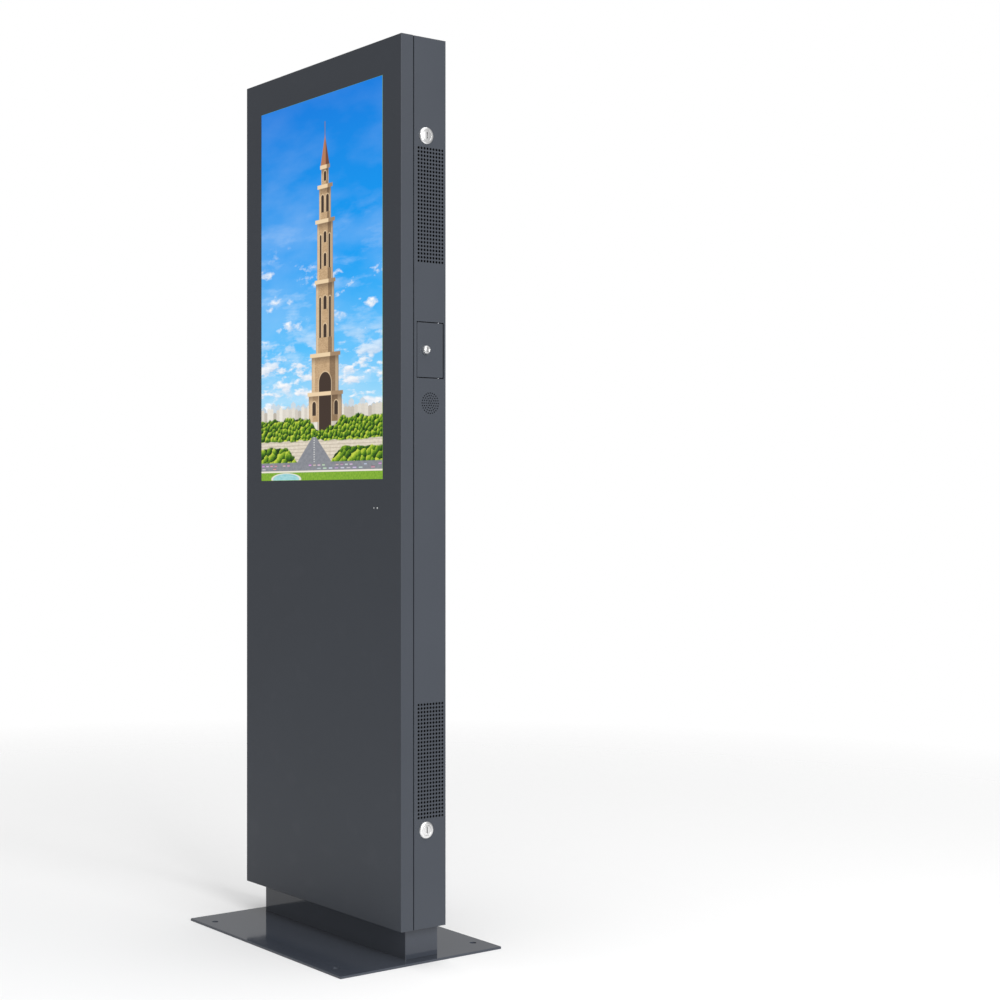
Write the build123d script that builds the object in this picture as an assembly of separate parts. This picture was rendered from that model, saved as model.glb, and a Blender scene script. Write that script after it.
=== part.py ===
from build123d import *
import os
from math import cos, pi, sin

# Free-standing information kiosk. Millimetres, +Z up, front faces -Y, +X to a viewer's right.
# Origin: centre of the base plate's underside, on the floor.

# ---- overall sizes ----
BODY_W = 500.0          # cabinet width
BODY_D = 98.0           # cabinet depth, door face to rear face
TOTAL_H = 1600.0        # floor to the cabinet's top
SHEET = 2.0             # casing and door sheet
DOOR_D = 26.0           # depth of the front door
SEAM = 2.0              # gap between the door and the casing
BEND_R = 1.2            # outer bend radius of the folded sheets

# ---- stand ----
BASE_W = 500.0
BASE_D = 350.0
BASE_T = 4.0
ANCHOR_X = 400.0        # floor-fixing holes, centre to centre
ANCHOR_Y = 300.0
ANCHOR_R = 6.0
PLINTH_W = 450.0
PLINTH_D = 70.0
PLINTH_H = 56.0
PLINTH_WALL = 4.0
FOOT_W = 24.0           # inward foot flange at each end of the plinth
COVER_GAP = 0.5         # round the plinth's rear cover
CABLE_R = 20.0          # cable entry through the base plate
CABLE_SLOT = (120.0, 40.0)
PLINTH_BOLT_X = 190.0
PLINTH_BOLT_Y = 16.0    # either side of the plinth's middle
BOLT_R = 4.0            # M8
BOLT_HEAD_R = 7.0
BOLT_HEAD_T = 5.3
BASE_SCREW_R = 3.0      # M6 countersunk
BASE_SCREW_HEAD_R = 5.6
BASE_SCREW_HEAD_T = 3.0
HOLE_PLAY = 0.3         # radial clearance of screws in their holes

# ---- screen ----
SCREEN_W = 393.0
SCREEN_H = 701.5
SCREEN_TOP = 61.5       # cabinet's top to the glass's top edge
GLASS_T = 4.0
GLASS_GAP = 0.4         # between the glass and the door sheet
FRAME_W = 6.0           # glass frame, outwards of the opening
FRAME_LAP = 6.5         # glass frame, behind the glass
FRAME_T = 2.0
DISPLAY_X = 6.5         # how far the display reaches past the glass, each side
DISPLAY_Z = 9.0
DISPLAY_T = 12.0

# ---- door frame and its fittings ----
LIP = 12.0              # inward lip of the door and of the casing's front
RAIL_W = 8.0
RAIL_WALL = 1.5
RAIL_GAP = 1.0          # between the display and its rails
RAIL_END = 20.0         # rail's end to the door's edge
BRACKET_W = 20.0
BRACKET_T = 2.0
BRACKET_Z = 200.0       # either side of the screen's middle
BRACKET_SCREW_R = 2.0
BRACKET_HEAD_R = 3.6
BRACKET_HEAD_T = 2.2
SENSOR_IN = 25.5        # light sensor, in from the glass edge
LAMP_IN = 15.5          # status lamp, in from the glass edge
SENSOR_DROP = 50.5      # both, below the glass
SENSOR_R = 1.25
LAMP_R = 1.5
LENS_PLAY = 0.05

# ---- piano hinge at the door's left ----
HINGE_IN = 3.5          # pin centre, in from the cabinet's side
KNUCKLE_R = 2.5
PIN_R = 1.2
PIN_PLAY = 0.05
LEAF_T = 1.2
DOOR_LEAF_W = 17.0      # door leaf's reach from the knuckle
CASE_LEAF_W = 5.0       # casing leaf's reach, short of the vents
KNUCKLES = 49
KNUCKLE_GAP = 0.4
KNUCKLE_ROOM = 0.3      # round the other leaf's knuckles
HINGE_END = 30.0        # hinge's end to the cabinet's end
DOOR_SET_BACK = 4.5     # door's edge to the pin, hinge side
CASE_SET_BACK = 3.5     # casing's edge to the pin, hinge side

# ---- vents and speaker grille ----
VENT_ROWS = 31
VENT_PITCH = 6.5
VENT_R = 2.3
VENT_OFF = 1.0          # vent fields and fans behind the middle of the casing
VENT_EDGE = 4.0         # plain sheet kept in front of and behind them
VENT_INSET = 192.0      # end of the cabinet to the nearest row
GRILLE_Y = 14.2
GRILLE_DROP = 632.0     # cabinet's top to the grille's centre
GRILLE_RINGS = 4
GRILLE_STEP = 4.4
GRILLE_R = 1.3
SPEAKER_R = 23.0
SPEAKER_D = 20.0
SPEAKER_FLANGE = 2.0
FILTER_T = 1.5
FILTER_EDGE = 3.0

# ---- fans ----
FAN_MAX = 60.0
FAN_T = 25.0
FAN_ROOM = 6.0          # fan to the casing's front edge
FAN_RIM = 1.5           # wall round the bore, and the blades' gap to it
FAN_GAP = 1.2
FAN_HUB_R = 12.0
FAN_BLADES = 7
FAN_PITCH_Z = 35.0      # either side of the vent field's middle
FAN_SHAFT_R = 1.5
FAN_STRUT = 3.0         # thickness of the motor's struts

# ---- door locks ----
LOCK_Y = 5.0
LOCK_INSET = 170.0      # end of the cabinet to the lock's centre
LOCK = dict(head_r=15.0, proud=4.0, body_r=11.0, plug_r=9.0, depth=24.0, nut_r=14.0, nut_t=5.0,
            slot=(13.0, 2.0, 8.0), cam_w=12.0, cam_l=24.0, cam_t=2.5)
LOCK_PLAY = 0.05        # cylinder in its barrel
STRIKE_T = 2.5
STRIKE_LOW = 12.0       # strike's lower edge above the lock's centre
STRIKE_HIGH = 30.0
STRIKE_GAP = 1.8        # between the turned cam and the strike
STRIKE_X = 1.5          # strike's arm to the door's rail

# ---- service hatch ----
HATCH_Y = 13.9
HATCH_DROP = 540.2      # cabinet's top to the hatch's centre
HATCH_W = 56.0
HATCH_H = 94.4
HATCH_GAP = 1.2
HATCH_R = 2.0
HATCH_LOCK_Y = 3.0
HATCH_LOCK = dict(head_r=8.0, proud=7.5, body_r=5.5, plug_r=4.5, depth=9.0, nut_r=7.5, nut_t=3.0,
                  slot=(7.0, 1.4, 5.0), cam_w=8.0, cam_l=21.0, cam_t=2.5)
CAM_PAD = 4.0           # step at the hatch cam's tip
CAM_PAD_GAP = 0.7       # between that step and the side panel
HATCH_PIN_R = 1.5
HATCH_PIN_IN = 2.5      # pin centre behind the side panel
HATCH_PIN_Y = 7.0       # pin centre, forward of the hatch's rear edge
EAR_R = 3.0
EAR_T = 4.0
EAR_Z = 32.0            # either side of the hatch's centre
BAY_SHEET = 1.5
BAY_DEPTH = 66.0
BAY_ROOM = 7.5          # bay above and below the hatch opening

# ---- service bay's fittings ----
PORT_PLATE_T = 2.0
ROCKER_UP = 28.0        # above the hatch's centre
ROCKER_TILT = 12.0
ROCKER_BEZEL = (30.0, 22.0, 2.0)
ROCKER_BODY = (26.0, 18.0, 18.0)
ROCKER_POCKET = (21.4, 13.0, 12.0)
TRUNNION_R = 1.0
TRUNNION_L = 1.2
RUN_PLAY = 0.05

# ---- equipment in the lower casing ----
PLATE_W = 340.0
PLATE_Z0 = 300.0
PLATE_Z1 = 800.0
PLATE_T = 2.0
PLATE_OFF = 8.0         # spacers between the plate and the rear panel
SPACER_R = 5.0
SPACER_IN = 15.0
DIN_W = 35.0
DIN_T = 7.5
DIN_L = 240.0
DIN_Z = 350.0
BREAKER = (36.0, 37.0, 85.0)
BREAKER_STEP = (33.0, 10.0, 9.0)        # middle from the centre, half height, depth
LEVER_HUB_R = 5.5
LEVER_W = 12.0
LEVER_L = 15.0
LEVER_SWING = 40.0
LEVER_RECESS = 11.5
GLAND_X = 30.0
GLAND_R = 12.0
GLAND_NUT = (15.5, 8.0, 4.0)    # radius, height inside, height below the floor
GLAND_BODY = 14.0       # threaded part below the inner nut
GLAND_CAP = (13.0, 10.0, 3.0)   # start above the floor, height, taper
GLAND_BORE_R = 4.0
EARTH_X = -45.0
EARTH_R = 3.0
EARTH_NUT = (5.8, 5.0, 3.0)     # radius, height inside, height below the floor
EARTH_L = 26.0
SUPPLY = (-150.0, -40.0, 470.0, 670.0, 38.0)    # X, X, Z, Z, depth of a case on the plate
SUPPLY_SHELF = (25.0, 18.0)     # depth and height of the terminal shelf
SUPPLY_SLOTS = (6, 14.0, 6.0, 2.0)      # count, pitch, width, depth
PLAYER = (10.0, 150.0, 600.0, 740.0, 34.0)
PLAYER_FINS = (14, 9.0, 4.0, 3.0)       # count, pitch, width, depth of the grooves
AMPLIFIER = (10.0, 130.0, 470.0, 560.0, 28.0)
KNOB = (6.0, 7.0)
CASE_EDGE = 1.5
CASE_MARGIN = 12.0      # end of the case to its slots and fins
TERMINALS = (8, 6.2, 46.0, 34.0)        # count, width, height, depth
TERMINAL_X = 10.0
TERMINAL_EDGE = 6.0
WIRE_R = 2.0
WIRE_Z = 9.0
BOARD_FOOT = 3.0
BOARD_T = 1.6

# ---- derived places ----
HALF_W = BODY_W / 2
INNER_X = HALF_W - SHEET
FRONT = -BODY_D / 2
REAR = BODY_D / 2
INNER_BACK = REAR - SHEET
DOOR_BACK = FRONT + DOOR_D
CASE_FRONT = DOOR_BACK + SEAM
CAB_Z0 = BASE_T + PLINTH_H
CAB_Z1 = TOTAL_H
INNER_Z0 = CAB_Z0 + SHEET
INNER_Z1 = CAB_Z1 - SHEET
PLINTH_Y1 = REAR
PLINTH_Y0 = PLINTH_Y1 - PLINTH_D
PLINTH_MID = (PLINTH_Y0 + PLINTH_Y1) / 2
PLINTH_X = PLINTH_W / 2
GLASS_X = SCREEN_W / 2
GLASS_Z1 = CAB_Z1 - SCREEN_TOP
GLASS_Z0 = GLASS_Z1 - SCREEN_H
GLASS_MID = (GLASS_Z0 + GLASS_Z1) / 2
GLASS_BACK = FRONT + GLASS_T
DISPLAY_FRONT = GLASS_BACK + FRAME_T
DISPLAY_BACK = DISPLAY_FRONT + DISPLAY_T
RAIL_X0 = GLASS_X + max(DISPLAY_X, GLASS_GAP + FRAME_W) + RAIL_GAP
RAIL_X1 = RAIL_X0 + RAIL_W
BRACKET_BACK = DISPLAY_BACK + BRACKET_T
HINGE_X = -HALF_W + HINGE_IN
HINGE_Y = (DOOR_BACK + CASE_FRONT) / 2
HINGE_Z0 = CAB_Z0 + HINGE_END
HINGE_Z1 = CAB_Z1 - HINGE_END
SENSOR_Z = GLASS_Z0 - SENSOR_DROP
SENSOR_X = GLASS_X - SENSOR_IN
LAMP_X = GLASS_X - LAMP_IN
LOCK_LOW = CAB_Z0 + LOCK_INSET
LOCK_HIGH = CAB_Z1 - LOCK_INSET
HATCH_Z = CAB_Z1 - HATCH_DROP
HATCH_PIVOT = (INNER_X - HATCH_PIN_IN, HATCH_Y + HATCH_W / 2 - HATCH_PIN_Y)
GRILLE_Z = CAB_Z1 - GRILLE_DROP
VENT_Y = (CASE_FRONT + REAR) / 2 + VENT_OFF
VENT_COLS = int((REAR - CASE_FRONT - 2 * VENT_EDGE) // VENT_PITCH)
VENT_SPAN = (VENT_ROWS - 1) * VENT_PITCH
FAN = min(FAN_MAX, 2 * (INNER_BACK - VENT_Y), 2 * (VENT_Y - CASE_FRONT - FAN_ROOM))
FAN_BORE_R = FAN / 2 - FAN_RIM
FAN_TIP_R = FAN_BORE_R - FAN_GAP
VENT_MIDS = (CAB_Z0 + VENT_INSET + VENT_SPAN / 2, CAB_Z1 - VENT_INSET - VENT_SPAN / 2)
BAY_X0 = INNER_X - BAY_DEPTH
BAY_Z0 = HATCH_Z - HATCH_H / 2 - HATCH_GAP - BAY_ROOM
BAY_Z1 = HATCH_Z + HATCH_H / 2 + HATCH_GAP + BAY_ROOM
PORT_FACE = BAY_X0 + PORT_PLATE_T
PLATE_BACK = INNER_BACK - PLATE_OFF
PLATE_FRONT = PLATE_BACK - PLATE_T
DIN_FRONT = PLATE_FRONT - DIN_T

AXIS_TURN = {"x": Rot(0, 90, 0), "y": Rot(-90, 0, 0), "z": Rot(0, 0, 0)}
SIDES = {"right": 1, "left": -1}


# ---- helpers ----
def box(x0, x1, y0, y1, z0, z1):
    """Box between two corners."""
    centre = Pos((x0 + x1) / 2, (y0 + y1) / 2, (z0 + z1) / 2)
    return centre * Box(x1 - x0, y1 - y0, z1 - z0)


def rod(axis, radius, length, at):
    """Cylinder that starts at a point and runs along +axis."""
    upright = Cylinder(radius, length, align=(Align.CENTER, Align.CENTER, Align.MIN))
    return Pos(*at) * AXIS_TURN[axis] * upright


def tube(axis, radius, bore, length, at):
    """Hollow cylinder that starts at a point and runs along +axis."""
    return rod(axis, radius, length, at) - rod(axis, bore, length, at)


def centred(axis, radius, length, middle):
    """Cylinder along an axis with its middle at a point."""
    return Pos(*middle) * AXIS_TURN[axis] * Cylinder(radius, length)


def hex_rod(across_r, length, at):
    """Upright hexagonal prism."""
    prism = extrude(RegularPolygon(across_r, 6), amount=length)
    return Pos(*at) * prism


def circle_wire(x, y, z, radius):
    """Circle in a plane across X."""
    return Wire.make_circle(radius, Plane(origin=(x, y, z), z_dir=(1, 0, 0)))


def rect_wire(x, y0, y1, z0, z1):
    """Rectangle in a plane across X."""
    corners = [(x, y0, z0), (x, y1, z0), (x, y1, z1), (x, y0, z1)]
    return Wire.make_polygon([Vector(*c) for c in corners], close=True)


def edges_at(part, **where):
    """Straight edges whose middle lies at the given coordinates."""
    found = []
    for edge in part.edges().filter_by(GeomType.LINE):
        middle = edge.position_at(0.5)
        if all(abs(getattr(middle, axis.upper()) - value) < 0.01 for axis, value in where.items()):
            found.append(edge)
    return found


def group(parts):
    """Several solids in one node."""
    solids = [solid for part in parts for solid in part.solids()]
    return Compound(children=solids)


# ---- stand ----
def base_screw_places():
    """Screws that hold the plinth's feet to the base plate."""
    x = PLINTH_X - PLINTH_WALL - FOOT_W / 2
    return [(side * x, PLINTH_MID + dy) for side in (-1, 1) for dy in (-PLINTH_BOLT_Y, PLINTH_BOLT_Y)]


def plinth_bolt_places():
    """Bolts that hold the cabinet to the plinth."""
    return [(sx * PLINTH_BOLT_X, PLINTH_MID + dy) for sx in (-1, 1) for dy in (-PLINTH_BOLT_Y, PLINTH_BOLT_Y)]


def base_plate():
    plate = box(-BASE_W / 2, BASE_W / 2, -BASE_D / 2, BASE_D / 2, 0, BASE_T)
    plate = fillet(edges_at(plate, z=BASE_T / 2), 2.0)
    plate = chamfer(plate.faces().sort_by(Axis.Z)[-1].outer_wire().edges(), 0.4)
    corners = [(sx * ANCHOR_X / 2, sy * ANCHOR_Y / 2) for sx in (-1, 1) for sy in (-1, 1)]
    cuts = [rod("z", ANCHOR_R, BASE_T, (x, y, 0)) for x, y in corners]
    cuts.append(rod("z", CABLE_R, BASE_T, (0, PLINTH_MID, 0)))
    for x, y in base_screw_places():
        cuts.append(rod("z", BASE_SCREW_R + HOLE_PLAY, BASE_T, (x, y, 0)))
        head = Cone(BASE_SCREW_HEAD_R + HOLE_PLAY, BASE_SCREW_R + HOLE_PLAY, BASE_SCREW_HEAD_T)
        cuts.append(Pos(x, y, BASE_SCREW_HEAD_T / 2) * head)
    return plate - cuts


def base_screws():
    """Countersunk screws from below, each with a nut on the plinth's foot."""
    screws = []
    foot_top = BASE_T + PLINTH_WALL
    for x, y in base_screw_places():
        head = Pos(x, y, BASE_SCREW_HEAD_T / 2) * Cone(BASE_SCREW_HEAD_R, BASE_SCREW_R, BASE_SCREW_HEAD_T)
        shank = rod("z", BASE_SCREW_R, foot_top + 7.0, (x, y, 0))
        nut = hex_rod(5.8, 5.0, (x, y, foot_top))
        screws.append(head + shank + nut)
    return group(screws)


def plinth_shell():
    """Front and two ends folded from one plate, with a foot flange at each end."""
    z0, z1 = BASE_T, CAB_Z0
    shell = box(-PLINTH_X, PLINTH_X, PLINTH_Y0, PLINTH_Y1, z0, z1)
    shell = fillet(edges_at(shell, y=PLINTH_Y0, z=(z0 + z1) / 2), BEND_R)
    inside = PLINTH_X - PLINTH_WALL
    shell -= box(-inside, inside, PLINTH_Y0 + PLINTH_WALL, PLINTH_Y1 + 1, z0 - 1, z1 + 1)
    for side in (-1, 1):
        x0, x1 = sorted((side * inside, side * (inside - FOOT_W)))
        shell += box(x0, x1, PLINTH_Y0 + PLINTH_WALL, PLINTH_Y1 - PLINTH_WALL - COVER_GAP, z0, z0 + PLINTH_WALL)
    holes = [rod("z", BASE_SCREW_R + HOLE_PLAY, PLINTH_WALL, (x, y, z0)) for x, y in base_screw_places()]
    return shell - holes


def plinth_top_plate():
    inside = PLINTH_X - PLINTH_WALL
    plate = box(-inside, inside, PLINTH_Y0 + PLINTH_WALL, PLINTH_Y1, CAB_Z0 - PLINTH_WALL, CAB_Z0)
    cuts = [rod("z", BOLT_R + HOLE_PLAY, PLINTH_WALL, (x, y, CAB_Z0 - PLINTH_WALL)) for x, y in plinth_bolt_places()]
    half_x, half_y = CABLE_SLOT[0] / 2, CABLE_SLOT[1] / 2
    middle = PLINTH_MID
    cuts.append(box(-half_x, half_x, middle - half_y, middle + half_y, CAB_Z0 - PLINTH_WALL, CAB_Z0))
    return plate - cuts


def plinth_rear_cover():
    """Removable plate with bevelled ends that closes the plinth's back."""
    x = PLINTH_X - PLINTH_WALL - COVER_GAP
    cover = box(-x, x, PLINTH_Y1 - PLINTH_WALL, PLINTH_Y1, BASE_T + COVER_GAP, CAB_Z0 - PLINTH_WALL - COVER_GAP)
    return chamfer(edges_at(cover, y=PLINTH_Y1), 1.0)


def plinth_bolts():
    bolts = []
    for x, y in plinth_bolt_places():
        head = hex_rod(BOLT_HEAD_R, BOLT_HEAD_T, (x, y, INNER_Z0))
        shank = rod("z", BOLT_R, INNER_Z0 - CAB_Z0 + PLINTH_WALL + 10.0, (x, y, CAB_Z0 - PLINTH_WALL - 10.0))
        nut = hex_rod(BOLT_HEAD_R, BOLT_HEAD_T, (x, y, CAB_Z0 - PLINTH_WALL - BOLT_HEAD_T))
        bolts.append(head + shank + nut)
    return group(bolts)


# ---- casing ----
def panel_holes(side, x):
    """Vent fields and speaker grille of one side panel, as wires at one X."""
    wires = []
    for middle in VENT_MIDS:
        for column in range(VENT_COLS):
            for row in range(VENT_ROWS):
                y = VENT_Y + (column - (VENT_COLS - 1) / 2) * VENT_PITCH
                z = middle + (row - (VENT_ROWS - 1) / 2) * VENT_PITCH
                wires.append(circle_wire(x, y, z, VENT_R))
    wires.append(circle_wire(x, GRILLE_Y, GRILLE_Z, GRILLE_R))
    for ring in range(1, GRILLE_RINGS + 1):
        for i in range(6 * ring):
            angle = 2 * pi * i / (6 * ring)
            reach = ring * GRILLE_STEP
            wires.append(circle_wire(x, GRILLE_Y + reach * cos(angle), GRILLE_Z + reach * sin(angle), GRILLE_R))
    if side > 0:
        wires += [circle_wire(x, LOCK_Y, z, LOCK["body_r"] + 0.1) for z in (LOCK_LOW, LOCK_HIGH)]
    return wires


def sheet_piece(side, y0, y1, z0, z1):
    """One stretch of a side panel, with the holes that lie inside it."""
    x = side * INNER_X
    holes = []
    for wire in panel_holes(side, x):
        middle = wire.center()
        if y0 < middle.Y < y1 and z0 < middle.Z < z1:
            holes.append(wire)
    piece = extrude(Face(rect_wire(x, y0, y1, z0, z1), holes), amount=SHEET, dir=(side, 0, 0))
    if y1 == REAR:
        piece = fillet(edges_at(piece, x=side * HALF_W, y=REAR), BEND_R)
    return piece


def side_panel_right():
    """Lock side: the sheet below, above, before and behind the hatch opening."""
    y0, y1 = HATCH_Y - HATCH_W / 2 - HATCH_GAP, HATCH_Y + HATCH_W / 2 + HATCH_GAP
    z0, z1 = HATCH_Z - HATCH_H / 2 - HATCH_GAP, HATCH_Z + HATCH_H / 2 + HATCH_GAP
    return group([
        sheet_piece(1, CASE_FRONT, REAR, CAB_Z0, z0),
        sheet_piece(1, CASE_FRONT, REAR, z1, CAB_Z1),
        sheet_piece(1, CASE_FRONT, y0, z0, z1),
        sheet_piece(1, y1, REAR, z0, z1),
    ])


def side_panel_left():
    return sheet_piece(-1, HINGE_Y + CASE_SET_BACK, REAR, CAB_Z0, CAB_Z1)


def jamb_right():
    """Flat inward flange at the casing's front, on the lock side."""
    return box(INNER_X - LIP, INNER_X, CASE_FRONT, CASE_FRONT + SHEET, INNER_Z0, INNER_Z1)


def rear_panel():
    return box(-INNER_X, INNER_X, INNER_BACK, REAR, CAB_Z0, CAB_Z1)


def end_panel(outer_z, inner_z, inward):
    """Top or bottom sheet with its front flange; inward is the flange's direction in Z."""
    reach = INNER_X - LIP
    sheet_z = sorted((outer_z, inner_z))
    flange_z = sorted((inner_z, inner_z + inward * LIP))
    sheet = box(-INNER_X, INNER_X, CASE_FRONT, INNER_BACK, *sheet_z)
    return sheet + box(-reach, reach, CASE_FRONT, CASE_FRONT + SHEET, *flange_z)


def top_panel():
    return end_panel(CAB_Z1, INNER_Z1, -1)


def bottom_panel():
    panel = end_panel(CAB_Z0, INNER_Z0, 1)
    cuts = [rod("z", BOLT_R + HOLE_PLAY, SHEET, (x, y, CAB_Z0)) for x, y in plinth_bolt_places()]
    cuts.append(rod("z", GLAND_R + HOLE_PLAY, SHEET, (GLAND_X, PLINTH_MID, CAB_Z0)))
    cuts.append(rod("z", EARTH_R + HOLE_PLAY, SHEET, (EARTH_X, PLINTH_MID, CAB_Z0)))
    return panel - cuts


def door_seal():
    """Rubber strip on the casing's front flange: top, lock side and bottom."""
    inset, width = 4.0, 6.0
    reach = INNER_X - LIP
    z0, z1 = CAB_Z0 + inset, CAB_Z1 - inset
    strip = box(-reach, INNER_X - inset, DOOR_BACK + 0.1, CASE_FRONT, z0, z1)
    inner = box(-reach - 1, INNER_X - inset - width, DOOR_BACK, CASE_FRONT + 1, z0 + width, z1 - width)
    return strip - inner


def cable_gland():
    """Mains inlet gland in the cabinet's floor."""
    x, y = GLAND_X, PLINTH_MID
    nut_r, above, below = GLAND_NUT
    start, height, taper = GLAND_CAP
    body = hex_rod(nut_r, above, (x, y, INNER_Z0))
    body += rod("z", GLAND_R, GLAND_BODY, (x, y, INNER_Z0 - GLAND_BODY))
    body += Pos(x, y, INNER_Z0 + start) * Cone(GLAND_R, GLAND_R - taper, height)
    body += hex_rod(nut_r, below, (x, y, CAB_Z0 - below))
    return body - rod("z", GLAND_BORE_R, GLAND_BODY + start + height, (x, y, INNER_Z0 - GLAND_BODY))


def earth_stud():
    """Earth bolt through the cabinet's floor, with a nut each side."""
    x, y = EARTH_X, PLINTH_MID
    nut_r, above, below = EARTH_NUT
    stud = rod("z", EARTH_R, EARTH_L, (x, y, CAB_Z0 - below))
    return stud + hex_rod(nut_r, above, (x, y, INNER_Z0)) + hex_rod(nut_r, below, (x, y, CAB_Z0 - below))


# ---- hinge ----
def hinge_leaf(y_edge, owner):
    """Strip against the sheet, with every second knuckle round the pin."""
    y0, y1 = sorted((HINGE_Y, y_edge))
    leaf = box(-INNER_X, -INNER_X + LEAF_T, y0, y1, HINGE_Z0, HINGE_Z1)
    step = (HINGE_Z1 - HINGE_Z0) / KNUCKLES
    play = KNUCKLE_GAP / 2
    own, other = [], []
    for i in range(KNUCKLES):
        bottom = HINGE_Z0 + i * step
        if i % 2 == owner:
            own.append(rod("z", KNUCKLE_R, step - 2 * play, (HINGE_X, HINGE_Y, bottom + play)))
        else:
            room = step + 2 * play
            other.append(rod("z", KNUCKLE_R + KNUCKLE_ROOM, room, (HINGE_X, HINGE_Y, bottom - play)))
    bore = rod("z", PIN_R + PIN_PLAY, HINGE_Z1 - HINGE_Z0, (HINGE_X, HINGE_Y, HINGE_Z0))
    return (leaf - other) + own - bore


def hinge_leaf_casing():
    return hinge_leaf(HINGE_Y + KNUCKLE_R + CASE_LEAF_W, 0)


def hinge_leaf_door():
    return hinge_leaf(HINGE_Y - KNUCKLE_R - DOOR_LEAF_W, 1)


def hinge_pin():
    return rod("z", PIN_R, HINGE_Z1 - HINGE_Z0, (HINGE_X, HINGE_Y, HINGE_Z0))


# ---- front door ----
def door_skin():
    """Folded tray: face, four sides and a rear lip, with the screen opening."""
    skin = box(-HALF_W, HALF_W, FRONT, DOOR_BACK, CAB_Z0, CAB_Z1)
    skin = fillet(edges_at(skin, y=FRONT), BEND_R)
    skin -= box(-INNER_X, INNER_X, FRONT + SHEET, DOOR_BACK - SHEET, INNER_Z0, INNER_Z1)
    skin -= box(-INNER_X, INNER_X - LIP, DOOR_BACK - SHEET - 1, DOOR_BACK + 1, INNER_Z0 + LIP, INNER_Z1 - LIP)
    hinge_edge = HINGE_Y - DOOR_SET_BACK
    skin -= box(-HALF_W - 1, HINGE_X + HINGE_IN, hinge_edge, DOOR_BACK + 1, CAB_Z0 - 1, CAB_Z1 + 1)
    x = GLASS_X + GLASS_GAP
    skin -= box(-x, x, FRONT - 1, FRONT + SHEET + 1, GLASS_Z0 - GLASS_GAP, GLASS_Z1 + GLASS_GAP)
    for x, radius in ((SENSOR_X, SENSOR_R), (LAMP_X, LAMP_R)):
        skin -= rod("y", radius + LENS_PLAY, SHEET + 2, (x, FRONT - 1, SENSOR_Z))
    return skin


def touch_glass():
    glass = box(-GLASS_X, GLASS_X, FRONT, GLASS_BACK, GLASS_Z0, GLASS_Z1)
    return chamfer(edges_at(glass, y=FRONT), 0.3)


def glass_frame():
    """Stepped frame behind the door's face that carries the glass."""
    x, lap = GLASS_X + GLASS_GAP, GLASS_X - FRAME_LAP
    z_out, z_lap = GLASS_GAP + FRAME_W, -FRAME_LAP
    frame = box(-x - FRAME_W, x + FRAME_W, FRONT + SHEET, DISPLAY_FRONT, GLASS_Z0 - z_out, GLASS_Z1 + z_out)
    frame -= box(-x, x, FRONT, GLASS_BACK, GLASS_Z0 - GLASS_GAP, GLASS_Z1 + GLASS_GAP)
    return frame - box(-lap, lap, FRONT, DISPLAY_FRONT + 1, GLASS_Z0 - z_lap, GLASS_Z1 + z_lap)


def display_panel():
    x = GLASS_X + DISPLAY_X
    panel = box(-x, x, DISPLAY_FRONT, DISPLAY_BACK, GLASS_Z0 - DISPLAY_Z, GLASS_Z1 + DISPLAY_Z)
    return chamfer(edges_at(panel, y=DISPLAY_BACK), 1.5)


def bracket_places():
    """Screws of the display brackets, on the middle of each rail."""
    x = (RAIL_X0 + RAIL_X1) / 2
    return [(sx * x, GLASS_MID + sz * BRACKET_Z) for sx in (-1, 1) for sz in (-1, 1)]


def door_rails():
    """Square tubes beside, above and below the display."""
    y0, y1 = FRONT + SHEET, DISPLAY_BACK
    z0, z1 = CAB_Z0 + RAIL_END, CAB_Z1 - RAIL_END
    wall = RAIL_WALL
    rails = []
    for side in (-1, 1):
        x0, x1 = sorted((side * RAIL_X0, side * RAIL_X1))
        rail = box(x0, x1, y0, y1, z0, z1) - box(x0 + wall, x1 - wall, y0 + wall, y1 - wall, z0 - 1, z1 + 1)
        holes = [
            rod("y", BRACKET_SCREW_R + HOLE_PLAY, wall + 1, (x, y1 - wall - 0.5, z))
            for x, z in bracket_places()
            if x * side > 0
        ]
        rails.append(rail - holes)
    gap = DISPLAY_Z + RAIL_GAP
    for low in (GLASS_Z0 - gap - RAIL_W, GLASS_Z1 + gap):
        cross = box(-RAIL_X0, RAIL_X0, y0, y1, low, low + RAIL_W)
        rails.append(cross - box(-RAIL_X0, RAIL_X0, y0 + wall, y1 - wall, low + wall, low + RAIL_W - wall))
    return group(rails)


def display_brackets():
    straps = []
    for sz in (-1, 1):
        z = GLASS_MID + sz * BRACKET_Z
        strap = box(-RAIL_X1, RAIL_X1, DISPLAY_BACK, BRACKET_BACK, z - BRACKET_W / 2, z + BRACKET_W / 2)
        for x, hole_z in bracket_places():
            if hole_z == z:
                strap -= rod("y", BRACKET_SCREW_R + HOLE_PLAY, BRACKET_T, (x, DISPLAY_BACK, z))
        straps.append(strap)
    return group(straps)


def bracket_screws():
    screws = []
    for x, z in bracket_places():
        shank = rod("y", BRACKET_SCREW_R, BRACKET_T + 5.0, (x, BRACKET_BACK - BRACKET_T - 5.0, z))
        head = rod("y", BRACKET_HEAD_R, BRACKET_HEAD_T, (x, BRACKET_BACK, z))
        head = fillet(head.faces().sort_by(Axis.Y)[-1].edges(), 0.8)
        screws.append(shank + head)
    return group(screws)


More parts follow.
